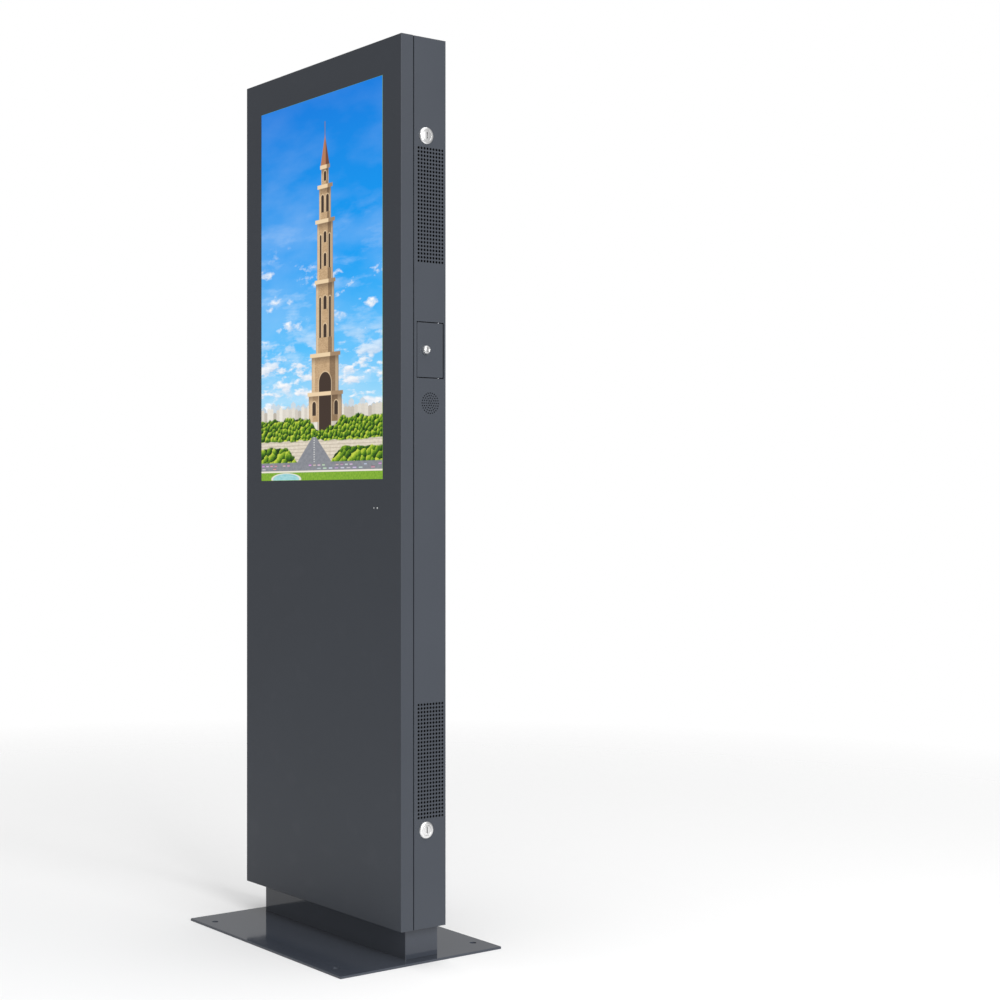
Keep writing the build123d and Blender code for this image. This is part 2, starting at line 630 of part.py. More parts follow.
def board(width, height, x, z, chips):
    """Circuit board on four stand-offs behind the display, with its chips."""
    y0 = DISPLAY_BACK + BOARD_FOOT
    y1 = y0 + BOARD_T
    plate = box(x - width / 2, x + width / 2, y0, y1, z - height / 2, z + height / 2)
    feet = [
        rod("y", 2.0, BOARD_FOOT, (x + sx * (width / 2 - 5), DISPLAY_BACK, z + sz * (height / 2 - 5)))
        for sx in (-1, 1)
        for sz in (-1, 1)
    ]
    blocks = []
    for dx, dz, wide, tall, proud in chips:
        blocks.append(box(x + dx, x + dx + wide, y1, y1 + proud, z + dz, z + dz + tall))
    return plate + feet + blocks


def driver_board():
    chips = [(-70, -35, 22, 22, 1.6), (-30, -38, 14, 14, 1.4), (5, 20, 60, 12, 2.2), (35, -35, 18, 30, 2.4)]
    chips += [(-75 + 12 * i, 25, 8, 10, 2.0) for i in range(5)]
    return board(170, 96, 0, GLASS_MID + 60, chips)


def touch_controller():
    chips = [(-20, -8, 12, 12, 1.4), (2, -10, 18, 7, 2.2), (4, 3, 10, 8, 1.2)]
    return board(60, 34, 0, GLASS_MID - 90, chips)


def sensor_window(x, radius):
    """Small window in the door's face, with a collar behind it."""
    window = rod("y", radius, SHEET + 2.0, (x, FRONT, SENSOR_Z))
    return window + rod("y", radius + 1.5, 1.2, (x, FRONT + SHEET, SENSOR_Z))


def sensor_lens():
    return sensor_window(SENSOR_X, SENSOR_R)


def status_lamp():
    return sensor_window(LAMP_X, LAMP_R)


def sensor_board():
    y0 = FRONT + SHEET + 2.0
    plate = box(SENSOR_X - 8, LAMP_X + 8, y0, y0 + 1.6, SENSOR_Z - 7, SENSOR_Z + 7)
    socket = box(SENSOR_X - 4, SENSOR_X + 8, y0 + 1.6, y0 + 7.0, SENSOR_Z - 5, SENSOR_Z + 1)
    return plate + socket


def strike(lock_z):
    """Bracket from the door's face to behind the turned cam."""
    z0, z1 = lock_z + STRIKE_LOW, lock_z + STRIKE_HIGH
    x0 = RAIL_X1 + STRIKE_X
    cam_x0 = HALF_W - LOCK["depth"] - 0.5 - LOCK["cam_t"]
    flange_x = cam_x0 + LOCK["cam_t"] + 1.5
    flange_y = LOCK_Y + LOCK["cam_w"] / 2 + STRIKE_GAP
    foot = box(x0, INNER_X - LIP, FRONT + SHEET, FRONT + SHEET + STRIKE_T, z0, z1)
    arm = box(x0, x0 + STRIKE_T, FRONT + SHEET, flange_y + STRIKE_T, z0, z1)
    return foot + arm + box(x0, flange_x, flange_y, flange_y + STRIKE_T, z0, z1)


def door_strikes():
    return group([strike(LOCK_LOW), strike(LOCK_HIGH)])


# ---- locks ----
def lock_body(spec, y, z):
    """Barrel with a round head outside the sheet and a nut behind it."""
    back = HALF_W - spec["depth"]
    head = rod("x", spec["head_r"], spec["proud"], (HALF_W, y, z))
    head = fillet(head.faces().sort_by(Axis.X)[-1].edges(), spec["proud"] * 0.55)
    barrel = rod("x", spec["body_r"], spec["depth"], (back, y, z))
    nut = rod("x", spec["nut_r"], spec["nut_t"], (INNER_X - spec["nut_t"], y, z))
    bore = rod("x", spec["plug_r"] + LOCK_PLAY, spec["depth"] + spec["proud"], (back, y, z))
    return head + barrel + nut - bore


def lock_cylinder(spec, y, z, cam_dir, pad=0.0):
    """Turning plug with a key slot and a cam; cam_dir is the cam's way at rest, in (Y, Z)."""
    back = HALF_W - spec["depth"] - 0.5
    face = HALF_W + spec["proud"] - 0.4
    plug = rod("x", spec["plug_r"], face - back + spec["cam_t"], (back - spec["cam_t"], y, z))
    plug = fillet(plug.faces().sort_by(Axis.X)[-1].edges(), 0.6)
    tall, wide, deep = spec["slot"]
    plug -= box(face - deep, face + 1, y - wide / 2, y + wide / 2, z - tall / 2, z + tall / 2)
    half, reach = spec["cam_w"] / 2, spec["cam_l"]
    dy, dz = cam_dir
    y0, y1 = sorted((y - half * abs(dz), y + dy * reach + half * abs(dz)))
    z0, z1 = sorted((z - half * abs(dy), z + dz * reach + half * abs(dy)))
    plug += box(back - spec["cam_t"], back, y0, y1, z0, z1)
    if pad:
        plug += box(back, INNER_X - CAM_PAD_GAP, y0, y1, z1 - pad, z1)
    return plug


def door_lock_bodies():
    return group([lock_body(LOCK, LOCK_Y, z) for z in (LOCK_LOW, LOCK_HIGH)])


def lock_cylinder_upper():
    return lock_cylinder(LOCK, LOCK_Y, LOCK_HIGH, (-1, 0))


def lock_cylinder_lower():
    return lock_cylinder(LOCK, LOCK_Y, LOCK_LOW, (-1, 0))


def hatch_lock_body():
    return lock_body(HATCH_LOCK, HATCH_LOCK_Y, HATCH_Z)


def hatch_lock_cylinder():
    return lock_cylinder(HATCH_LOCK, HATCH_LOCK_Y, HATCH_Z, (0, 1), CAM_PAD)


# ---- hatch and service bay ----
def hatch_door():
    """Flush plate with two ears that turn on the hatch pin."""
    plate = box(
        INNER_X, HALF_W,
        HATCH_Y - HATCH_W / 2, HATCH_Y + HATCH_W / 2,
        HATCH_Z - HATCH_H / 2, HATCH_Z + HATCH_H / 2,
    )
    plate = fillet(edges_at(plate, x=(INNER_X + HALF_W) / 2), HATCH_R)
    px, py = HATCH_PIVOT
    for dz in (-EAR_Z, EAR_Z):
        z = HATCH_Z + dz
        plate += box(px, INNER_X, py - EAR_R, py + EAR_R, z - EAR_T / 2, z + EAR_T / 2)
        plate += rod("z", EAR_R, EAR_T, (px, py, z - EAR_T / 2))
        plate -= rod("z", HATCH_PIN_R + RUN_PLAY, EAR_T, (px, py, z - EAR_T / 2))
    return plate - rod("x", HATCH_LOCK["body_r"] + 0.1, SHEET + 2, (INNER_X - 1, HATCH_LOCK_Y, HATCH_Z))


def hatch_pin():
    px, py = HATCH_PIVOT
    return rod("z", HATCH_PIN_R, BAY_Z1 - BAY_Z0 - 2 * BAY_SHEET, (px, py, BAY_Z0 + BAY_SHEET))


def service_bay_box():
    """Four-sided box behind the hatch; its front wall stops short of the jamb."""
    y0, y1 = CASE_FRONT + SHEET, INNER_BACK
    bay = box(BAY_X0, INNER_X, y0, y1, BAY_Z0, BAY_Z1)
    bay -= box(BAY_X0 - 1, INNER_X + 1, y0 + BAY_SHEET, y1 - BAY_SHEET, BAY_Z0 + BAY_SHEET, BAY_Z1 - BAY_SHEET)
    return bay - box(INNER_X - LIP, INNER_X + 1, y0 - 1, y0 + BAY_SHEET, BAY_Z0 + BAY_SHEET, BAY_Z1 - BAY_SHEET)


def rocker_middle():
    """Middle of the rocker switch, on its pivot."""
    return PORT_FACE - 3.5, HATCH_Y, HATCH_Z + ROCKER_UP


def port_plate():
    """Bay's inboard wall, cut out for the switch and the ports."""
    y0, y1 = CASE_FRONT + SHEET + BAY_SHEET, INNER_BACK - BAY_SHEET
    plate = box(BAY_X0, PORT_FACE, y0, y1, BAY_Z0 + BAY_SHEET, BAY_Z1 - BAY_SHEET)
    _, y, z = rocker_middle()
    tall, wide = ROCKER_BODY[0] / 2, ROCKER_BODY[1] / 2
    plate -= box(BAY_X0 - 1, PORT_FACE + 1, y - wide, y + wide, z - tall, z + tall)
    for port_y, port_z, port_w, port_h in port_places():
        plate -= box(BAY_X0 - 1, PORT_FACE + 1, port_y - port_w / 2, port_y + port_w / 2,
                     port_z - port_h / 2, port_z + port_h / 2)
    return plate


def port_places():
    """Centre, width and height of two small data ports and one network port."""
    usb, lan = (13.1, 5.6), (16.0, 13.4)
    return [
        (HATCH_Y - 11, HATCH_Z - 8, *usb),
        (HATCH_Y + 11, HATCH_Z - 8, *usb),
        (HATCH_Y, HATCH_Z - 30, *lan),
    ]


def data_ports():
    """Metal socket shells, open towards the hatch, with a tongue inside."""
    ports = []
    for y, z, wide, tall in port_places():
        half_w, half_h = wide / 2, tall / 2
        shell = box(BAY_X0 - 14, PORT_FACE + 0.6, y - half_w, y + half_w, z - half_h, z + half_h)
        inner_w, inner_h = half_w - 0.5, half_h - 0.5
        shell -= box(BAY_X0 - 10, PORT_FACE + 1, y - inner_w, y + inner_w, z - inner_h, z + inner_h)
        tongue = box(BAY_X0 - 10.5, PORT_FACE - 1, y - inner_w + 1, y + inner_w - 1, z + 0.2, z + 1.6)
        ports.append(shell + tongue)
    return group(ports)


def rocker_housing():
    _, y, z = rocker_middle()
    tall, wide, proud = ROCKER_BEZEL
    bezel = box(PORT_FACE, PORT_FACE + proud, y - wide / 2, y + wide / 2, z - tall / 2, z + tall / 2)
    bezel = chamfer(edges_at(bezel, x=PORT_FACE + proud), 0.8)
    tall, wide, deep = ROCKER_BODY
    body = box(PORT_FACE - deep, PORT_FACE, y - wide / 2, y + wide / 2, z - tall / 2, z + tall / 2)
    tall, wide, deep = ROCKER_POCKET
    pocket_x = PORT_FACE + proud
    housing = bezel + body
    housing -= box(pocket_x - deep, pocket_x + 1, y - wide / 2, y + wide / 2, z - tall / 2, z + tall / 2)
    bore = centred("y", TRUNNION_R + RUN_PLAY, wide + 2 * TRUNNION_L + 0.2, rocker_middle())
    return housing - bore


def power_rocker():
    """Tilted rocker on two short trunnions."""
    x, y, z = rocker_middle()
    wide = ROCKER_POCKET[1] - 0.8
    with BuildPart() as rocker:
        with BuildSketch(Plane.XZ.offset(-wide / 2)):
            Polygon((-3.2, -6), (-3.2, 6), (4.6, 9), (3.0, 0), (4.6, -9), align=None)
        extrude(amount=wide)
    shape = rocker.part + centred("y", TRUNNION_R, wide + 2 * TRUNNION_L, (0, 0, 0))
    return Pos(x, y, z) * Rot(0, ROCKER_TILT, 0) * shape


# ---- ventilation and sound ----
def fan_places():
    """Side and height of each fan, behind the upper vent field of each side."""
    return [(side, VENT_MIDS[1] + dz) for side in SIDES.values() for dz in (FAN_PITCH_Z, -FAN_PITCH_Z)]


def fan_frame(side, z):
    """Square frame with a round duct and a motor boss on four struts."""
    x0 = INNER_X - FILTER_T - FAN_T
    frame = box(0, FAN_T, -FAN / 2, FAN / 2, -FAN / 2, FAN / 2)
    frame -= rod("x", FAN_BORE_R, FAN_T, (0, 0, 0))
    frame += rod("x", FAN_HUB_R, FAN_STRUT, (0, 0, 0))
    frame += [
        box(0, FAN_STRUT, -FAN_STRUT / 2, FAN_STRUT / 2, -FAN_BORE_R - 1, FAN_BORE_R + 1),
        box(0, FAN_STRUT, -FAN_BORE_R - 1, FAN_BORE_R + 1, -FAN_STRUT / 2, FAN_STRUT / 2),
    ]
    frame -= rod("x", FAN_SHAFT_R + RUN_PLAY, FAN_STRUT, (0, 0, 0))
    frame = fillet(edges_at(frame, x=FAN_T / 2), 3.0)
    placed = Pos(x0, VENT_Y, 0) * frame
    if side < 0:
        placed = mirror(placed, about=Plane.YZ)
    return Pos(0, 0, z) * placed


def fan_frames():
    return group([fan_frame(side, z) for side, z in fan_places()])


def fan_rotor(side, z):
    """Hub, shaft and pitched blades."""
    depth = FAN_T - FAN_STRUT - 2.5
    hub = rod("x", FAN_HUB_R, depth, (FAN_STRUT + 1.0, 0, 0))
    hub = fillet(hub.faces().sort_by(Axis.X)[-1].edges(), 1.5)
    hub += rod("x", FAN_SHAFT_R, FAN_STRUT + 1.0, (0, 0, 0))
    blade = Pos(FAN_STRUT + 1.0 + depth / 2, 0, (FAN_HUB_R + FAN_TIP_R) / 2 - 0.5)
    blade *= Rot(0, 0, 38) * Box(depth * 0.95, 1.6, FAN_TIP_R - FAN_HUB_R + 1.0)
    blade &= rod("x", FAN_TIP_R, FAN_T, (0, 0, 0))
    blades = [Rot(360 * i / FAN_BLADES, 0, 0) * blade for i in range(FAN_BLADES)]
    placed = Pos(INNER_X - FILTER_T - FAN_T, VENT_Y, 0) * (hub + blades)
    if side < 0:
        placed = mirror(placed, about=Plane.YZ)
    return Pos(0, 0, z) * placed


def dust_filters():
    """Thin filter mats against the vent fields."""
    half_y = (VENT_COLS - 1) * VENT_PITCH / 2 + FILTER_EDGE
    half_z = VENT_SPAN / 2 + FILTER_EDGE
    mats = []
    for side in SIDES.values():
        x0, x1 = sorted((side * INNER_X, side * (INNER_X - FILTER_T)))
        for middle in VENT_MIDS:
            mats.append(box(x0, x1, VENT_Y - half_y, VENT_Y + half_y, middle - half_z, middle + half_z))
    return group(mats)


def speaker_basket(side):
    """Flange, tapered basket and magnet; hollow at the front for the cone."""
    flange = rod("x", SPEAKER_R, SPEAKER_FLANGE, (INNER_X - SPEAKER_FLANGE, 0, 0))
    taper = Pos(INNER_X - SPEAKER_D / 2, 0, 0) * Rot(0, 90, 0) * Cone(11.0, SPEAKER_R - 2.0, SPEAKER_D)
    magnet = rod("x", 13.0, 8.0, (INNER_X - SPEAKER_D - 8.0, 0, 0))
    hollow_d = SPEAKER_D - 4.0
    hollow = Pos(INNER_X - hollow_d / 2, 0, 0) * Rot(0, 90, 0) * Cone(9.0, SPEAKER_R - 3.0, hollow_d)
    basket = Pos(0, GRILLE_Y, GRILLE_Z) * (flange + taper + magnet - hollow)
    return mirror(basket, about=Plane.YZ) if side < 0 else basket


def speaker_baskets():
    return group([speaker_basket(side) for side in SIDES.values()])


def speaker_cone(side):
    """Paper cone with its dome, inside the basket."""
    deep, rim = SPEAKER_D - 8.0, SPEAKER_R - 4.5
    outer = Pos(INNER_X - 1.5 - deep / 2, 0, 0) * Rot(0, 90, 0) * Cone(8.0, rim, deep)
    inner = Pos(INNER_X - 1.0 - deep / 2, 0, 0) * Rot(0, 90, 0) * Cone(7.2, rim - 0.3, deep)
    dome = Pos(INNER_X - 1.2 - deep, 0, 0) * (Sphere(7.0) & box(0, 8, -8, 8, -8, 8))
    cone = Pos(0, GRILLE_Y, GRILLE_Z) * (outer - inner + dome)
    return mirror(cone, about=Plane.YZ) if side < 0 else cone


def speaker_cones():
    return group([speaker_cone(side) for side in SIDES.values()])


# ---- equipment ----
def equipment_plate():
    return box(-PLATE_W / 2, PLATE_W / 2, PLATE_FRONT, PLATE_BACK, PLATE_Z0, PLATE_Z1)


def plate_spacers():
    reach = PLATE_W / 2 - SPACER_IN
    spots = [(sx * reach, z) for sx in (-1, 1) for z in (PLATE_Z0 + SPACER_IN, PLATE_Z1 - SPACER_IN)]
    return group([rod("y", SPACER_R, PLATE_OFF, (x, PLATE_BACK, z)) for x, z in spots])


def case_on_plate(place, edge):
    """Closed apparatus case against the equipment plate."""
    x0, x1, z0, z1, deep = place
    case = box(x0, x1, PLATE_FRONT - deep, PLATE_FRONT, z0, z1)
    return chamfer(edges_at(case, y=PLATE_FRONT - deep), edge)


def grooves(place, pattern):
    """Row of upright grooves in the front of a case, centred on it."""
    x0, x1, z0, z1, deep = place
    count, pitch, wide, sunk = pattern
    front = PLATE_FRONT - deep
    first = (x0 + x1) / 2 - (count - 1) * pitch / 2
    middles = [first + pitch * i for i in range(count)]
    return [
        box(x - wide / 2, x + wide / 2, front - 1, front + sunk, z0 + CASE_MARGIN, z1 - CASE_MARGIN)
        for x in middles
    ]


def power_supply():
    """Switched supply with a slotted front and a terminal shelf."""
    x0, x1, z0, z1, deep = SUPPLY
    shelf_deep, shelf_high = SUPPLY_SHELF
    front = PLATE_FRONT - deep
    shelf = box(x0 - 1, x1 + 1, front - 1, front + shelf_deep, z0 - 1, z0 + shelf_high)
    vented = (x0, x1, z0 + 2 * shelf_high, z1, deep)
    return case_on_plate(SUPPLY, CASE_EDGE) - shelf - grooves(vented, SUPPLY_SLOTS)


def media_player():
    """Small computer with a finned front."""
    return case_on_plate(PLAYER, 2 * CASE_EDGE) - grooves(PLAYER, PLAYER_FINS)


def audio_amplifier():
    """Amplifier with its level knob."""
    x0, x1, z0, z1, deep = AMPLIFIER
    knob_r, knob_l = KNOB
    knob_at = (x0 + (x1 - x0) / 4, PLATE_FRONT - deep - knob_l, (z0 + z1) / 2)
    return case_on_plate(AMPLIFIER, CASE_EDGE) + rod("y", knob_r, knob_l, knob_at)


def din_rail():
    """Top-hat rail."""
    half = DIN_W / 2
    rail = box(-DIN_L / 2, DIN_L / 2, DIN_FRONT, PLATE_FRONT, DIN_Z - half, DIN_Z + half)
    rail -= box(-DIN_L / 2, DIN_L / 2, DIN_FRONT + 1, PLATE_FRONT, DIN_Z + 13.5, DIN_Z + half + 1)
    rail -= box(-DIN_L / 2, DIN_L / 2, DIN_FRONT + 1, PLATE_FRONT, DIN_Z - half - 1, DIN_Z - 13.5)
    return rail - box(-DIN_L / 2, DIN_L / 2, DIN_FRONT - 1, PLATE_FRONT - 1, DIN_Z - 12.5, DIN_Z + 12.5)


def lever_middle():
    """Pivot of the breaker's lever."""
    return -80.0, DIN_FRONT - BREAKER[1] + 5.0, DIN_Z


def circuit_breaker():
    x, pivot_y, z = lever_middle()
    wide, deep, tall = BREAKER
    front = DIN_FRONT - deep
    case = box(x - wide / 2, x + wide / 2, front, DIN_FRONT, z - tall / 2, z + tall / 2)
    for middle in (z - BREAKER_STEP[0], z + BREAKER_STEP[0]):
        half, sunk = BREAKER_STEP[1:]
        case -= box(x - wide / 2, x + wide / 2, front, front + sunk, middle - half, middle + half)
    recess = LEVER_W / 2 + 0.5
    case -= box(x - recess, x + recess, front - 1, front + LEVER_RECESS, z - 13, z + 13)
    return case - centred("x", TRUNNION_R + RUN_PLAY, LEVER_W + 1 + 2 * TRUNNION_L + 0.2, (x, pivot_y, z))


def breaker_lever():
    """Lever on its hub, resting down in the off place."""
    hub = centred("x", LEVER_HUB_R, LEVER_W, (0, 0, 0))
    grip = fillet(box(-LEVER_W / 2, LEVER_W / 2, -LEVER_L, 0, -2.5, 2.5).edges().filter_by(Axis.X), 1.0)
    lever = hub + grip + centred("x", TRUNNION_R, LEVER_W + 1 + 2 * TRUNNION_L, (0, 0, 0))
    return Pos(*lever_middle()) * Rot(LEVER_SWING, 0, 0) * lever


def terminal_block():
    """Row of rail terminals with wire holes and grooves between them."""
    count, wide, tall, deep = TERMINALS
    x0, x1 = TERMINAL_X, TERMINAL_X + count * wide
    front = DIN_FRONT - deep
    block = box(x0, x1, front, DIN_FRONT, DIN_Z - tall / 2, DIN_Z + tall / 2)
    block = chamfer(edges_at(block, y=front, x=(x0 + x1) / 2), TERMINAL_EDGE)
    reach = tall / 2 - TERMINAL_EDGE - 1
    middles = [x0 + (i + 0.5) * wide for i in range(count)]
    holes = [rod("y", WIRE_R, 8.0, (x, front, DIN_Z + dz)) for x in middles for dz in (-WIRE_Z, WIRE_Z)]
    seams = [
        box(x + wide / 2 - 0.2, x + wide / 2 + 0.2, front - 1, front + 3, DIN_Z - reach, DIN_Z + reach)
        for x in middles[:-1]
    ]
    return block - holes - seams


# ---- write the nodes ----
NODES = [
    base_plate, base_screws, plinth_shell, plinth_top_plate, plinth_rear_cover, plinth_bolts,
    side_panel_right, side_panel_left, jamb_right, rear_panel, top_panel, bottom_panel,
    door_seal, cable_gland, earth_stud,
    hinge_leaf_casing, hinge_leaf_door, hinge_pin,
    door_skin, touch_glass, glass_frame, display_panel, door_rails, display_brackets,
    bracket_screws, driver_board, touch_controller, sensor_lens, status_lamp, sensor_board,
    door_strikes, door_lock_bodies, lock_cylinder_upper, lock_cylinder_lower,
    hatch_door, hatch_lock_body, hatch_lock_cylinder, hatch_pin, service_bay_box,
    port_plate, data_ports, rocker_housing, power_rocker,
    fan_frames, dust_filters, speaker_baskets, speaker_cones,
    equipment_plate, plate_spacers, power_supply, media_player, audio_amplifier,
    din_rail, circuit_breaker, breaker_lever, terminal_block,
]


def main():
    """Build every node and write it to parts/."""
    os.makedirs("parts", exist_ok=True)
    for make in NODES:
        export_step(make(), f"parts/{make.__name__}.step")
    side_names = {value: name for name, value in SIDES.items()}
    for i, (side, z) in enumerate(fan_places()):
        level = ("upper", "lower")[i % 2]
        export_step(fan_rotor(side, z), f"parts/fan_rotor_{side_names[side]}_{level}.step")


main()
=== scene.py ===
"""Visual model of a free-standing touchscreen kiosk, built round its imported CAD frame."""
import logging
import math
from dataclasses import dataclass, field
from enum import Enum
from typing import Any, Callable, Iterable, Sequence

import bmesh
import bpy
from mathutils import Matrix, Vector


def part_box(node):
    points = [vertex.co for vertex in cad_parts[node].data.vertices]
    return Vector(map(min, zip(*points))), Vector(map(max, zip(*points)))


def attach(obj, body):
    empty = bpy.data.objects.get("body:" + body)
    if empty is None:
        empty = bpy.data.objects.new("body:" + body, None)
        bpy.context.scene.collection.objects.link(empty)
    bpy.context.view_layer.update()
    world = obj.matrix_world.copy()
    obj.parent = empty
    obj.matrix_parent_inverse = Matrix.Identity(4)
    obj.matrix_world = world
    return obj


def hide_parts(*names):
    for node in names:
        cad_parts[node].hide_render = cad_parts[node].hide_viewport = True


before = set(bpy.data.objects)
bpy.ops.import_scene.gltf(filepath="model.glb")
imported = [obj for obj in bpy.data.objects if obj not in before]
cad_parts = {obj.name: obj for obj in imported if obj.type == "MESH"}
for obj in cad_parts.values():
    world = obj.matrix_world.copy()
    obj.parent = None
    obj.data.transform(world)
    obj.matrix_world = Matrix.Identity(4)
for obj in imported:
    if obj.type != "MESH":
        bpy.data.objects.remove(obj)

LOG = logging.getLogger("kiosk")
MM = 0.001
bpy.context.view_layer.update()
Point = tuple[float, float]
Colour = tuple[float, float, float]


class Body(Enum):
    """The kiosk's rigid bodies."""

    ROOT = "root"
    DOOR = "front_door"
    UPPER_LOCK = "upper_lock"
    LOWER_LOCK = "lower_lock"
    HATCH = "hatch"
    HATCH_LOCK = "hatch_lock"


class Side(Enum):
    """The two long sides of the cabinet, by the sign of X."""

    RIGHT = 1
    LEFT = -1


# ---------------------------------------------------------------- node graphs


class Signal:
    """One output of a node, which can be used in arithmetic."""

    def __init__(self, graph: "Graph", socket: bpy.types.NodeSocket) -> None:
        """Wraps a socket of a graph's node."""
        self.graph = graph
        self.socket = socket

    def math(self, operation: str, *values: Any, clamp: bool = False) -> "Signal":
        """Adds a Math node on this signal.

        Args:
            operation: the Math node's operation.
            values: numbers or signals that follow this one, in order.
            clamp: whether the result is held between 0 and 1.

        Returns:
            The node's value.
        """
        settings = {"operation": operation, "use_clamp": clamp}
        return self.graph.node("ShaderNodeMath", settings, dict(enumerate((self, *values))))

    def __add__(self, other: Any) -> "Signal":
        """Sum."""
        return self.math("ADD", other)

    __radd__ = __add__

    def __sub__(self, other: Any) -> "Signal":
        """Difference."""
        return self.math("SUBTRACT", other)

    def __rsub__(self, other: Any) -> "Signal":
        """Difference, from the right."""
        settings = {"operation": "SUBTRACT"}
        return self.graph.node("ShaderNodeMath", settings, {0: other, 1: self})

    def __mul__(self, other: Any) -> "Signal":
        """Product."""
        return self.math("MULTIPLY", other)

    __rmul__ = __mul__

    def __truediv__(self, other: Any) -> "Signal":
        """Quotient."""
        return self.math("DIVIDE", other)

    def __abs__(self) -> "Signal":
        """Distance from zero."""
        return self.math("ABSOLUTE")

    def other(self, name: str) -> "Signal":
        """Another output of the same node."""
        return Signal(self.graph, self.socket.node.outputs[name])

    def over(self, edge: Any, soft: float) -> "Signal":
        """1 above an edge and 0 below it, with a soft step."""
        return ((self - edge) / soft).math("ADD", 0.5, clamp=True)

    def under(self, edge: Any, soft: float) -> "Signal":
        """1 below an edge and 0 above it, with a soft step."""
        return 1 - self.over(edge, soft)


class Graph:
    """A node tree with one general way to add a node."""

    def __init__(self, tree: bpy.types.NodeTree) -> None:
        """Starts from an empty tree."""
        self.tree = tree
        tree.nodes.clear()

    def node(
        self,
        kind: str,
        settings: dict[str, Any] | None = None,
        inputs: dict[Any, Any] | None = None,
        out: int | str = 0,
    ) -> Signal:
        """Adds any node.

        Args:
            kind: the node's type.
            settings: properties, set first; "stops" sets a colour ramp's stops.
            inputs: values or signals by socket name or number.
            out: the output that is returned.

        Returns:
            That output.
        """
        node = self.tree.nodes.new(kind)
        for name, value in (settings or {}).items():
            if name == "stops":
                ramp = node.color_ramp
                while len(ramp.elements) < len(value):
                    ramp.elements.new(1.0)
                for stop, (place, colour) in zip(ramp.elements, value):
                    stop.position, stop.color = place, (*colour, 1.0)
            else:
                setattr(node, name, value)
        for name, value in (inputs or {}).items():
            self.feed(node.inputs[name], value)
        return Signal(self, node.outputs[out])

    def feed(self, socket: bpy.types.NodeSocket, value: Any) -> None:
        """Links a signal to a socket, or sets the socket's own value."""
        if isinstance(value, Signal):
            self.tree.links.new(value.socket, socket)
        elif isinstance(value, tuple) and len(value) == 3 and socket.type == "RGBA":
            socket.default_value = (*value, 1.0)
        else:
            socket.default_value = value


class Shader(Graph):
    """A material with one Principled surface."""

    def __init__(self, name: str) -> None:
        """Makes the material and its surface node."""
        self.material = bpy.data.materials.new(name)
        self.material.use_nodes = True
        super().__init__(self.material.node_tree)
        self.surface = self.tree.nodes.new("ShaderNodeBsdfPrincipled")
        output = self.tree.nodes.new("ShaderNodeOutputMaterial")
        self.tree.links.new(self.surface.outputs[0], output.inputs[0])

    def paint(self, **sockets: Any) -> bpy.types.Material:
        """Feeds the surface, with underscores for spaces in the sockets' names.

        Returns:
            The material.
        """
        for name, value in sockets.items():
            self.feed(self.surface.inputs[name.replace("_", " ")], value)
        self.material.diffuse_color = (0.3, 0.3, 0.3, 1.0)
        return self.material

    def place(self, stretch: Colour = (1.0, 1.0, 1.0)) -> Signal:
        """Object coordinates, stretched by a factor along each axis."""
        source = self.node("ShaderNodeTexCoord", out="Object")
        return self.node("ShaderNodeMapping", {}, {"Vector": source, "Scale": stretch})

    def noise(self, size: float, detail: float = 2.0, at: Signal | None = None, rough: float = 0.5) -> Signal:
        """Noise with features of about the given size in metres, from 0 to 1."""
        vector = at or self.place()
        inputs = {"Vector": vector, "Scale": 1.0 / size, "Detail": detail, "Roughness": rough}
        return self.node("ShaderNodeTexNoise", {}, inputs)

    def mix(self, factor: Any, low: Any, high: Any) -> Signal:
        """Colour from low at 0 to high at 1."""
        return self.node("ShaderNodeMix", {"data_type": "RGBA"}, {0: factor, 6: low, 7: high}, 2)

    def bump(self, height: Signal, depth: float, strength: float = 1.0) -> Signal:
        """Normal of a surface with bumps of the given depth in metres."""
        return self.node("ShaderNodeBump", {}, {"Height": height, "Distance": depth, "Strength": strength})


# ---------------------------------------------------------------- finishes


def tint(colour: Colour, factor: float) -> Colour:
    """A colour made lighter or darker."""
    return tuple(min(1.0, channel * factor) for channel in colour)


@dataclass(frozen=True)
class PowderCoat:
    """Baked powder paint: fine grain over a faint orange peel."""

    name: str
    colour: Colour
    roughness: float = 0.46
    shine: float = 0.24
    grain: float = 0.0006
    peel: float = 0.004
    depth: float = 0.00003

    def material(self) -> bpy.types.Material:
        """Builds the finish."""
        shader = Shader(self.name)
        grain = shader.noise(self.grain, 3.0)
        peel = shader.noise(self.peel, 2.0)
        cloud = shader.noise(0.22, 3.0)
        shade = grain * 0.5 + cloud * 0.5
        rubbed = shader.noise(0.05, 4.0).over(0.62, 0.1) * 0.05
        return shader.paint(
            Base_Color=shader.mix(shade, tint(self.colour, 0.86), tint(self.colour, 1.14)),
            Roughness=grain * 0.14 + (self.roughness - 0.07) + cloud * 0.05 - rubbed,
            Specular_IOR_Level=self.shine,
            Normal=shader.bump(grain * 0.7 + peel * 0.6, self.depth),
        )


@dataclass(frozen=True)
class GlossCoat:
    """Smooth glossy enamel with a little dust and a soft orange peel."""

    name: str
    colour: Colour
    roughness: float = 0.09

    def material(self) -> bpy.types.Material:
        """Builds the finish."""
        shader = Shader(self.name)
        peel = shader.noise(0.0045, 2.0)
        dust = shader.noise(0.0011, 4.0).over(0.66, 0.12)
        smear = shader.noise(0.09, 4.0)
        return shader.paint(
            Base_Color=shader.mix(dust * 0.35, self.colour, tint(self.colour, 2.2)),
            Roughness=smear * 0.06 + dust * 0.12 + (self.roughness - 0.03),
            Specular_IOR_Level=0.42,
            Normal=shader.bump(peel, 0.000008),
        )


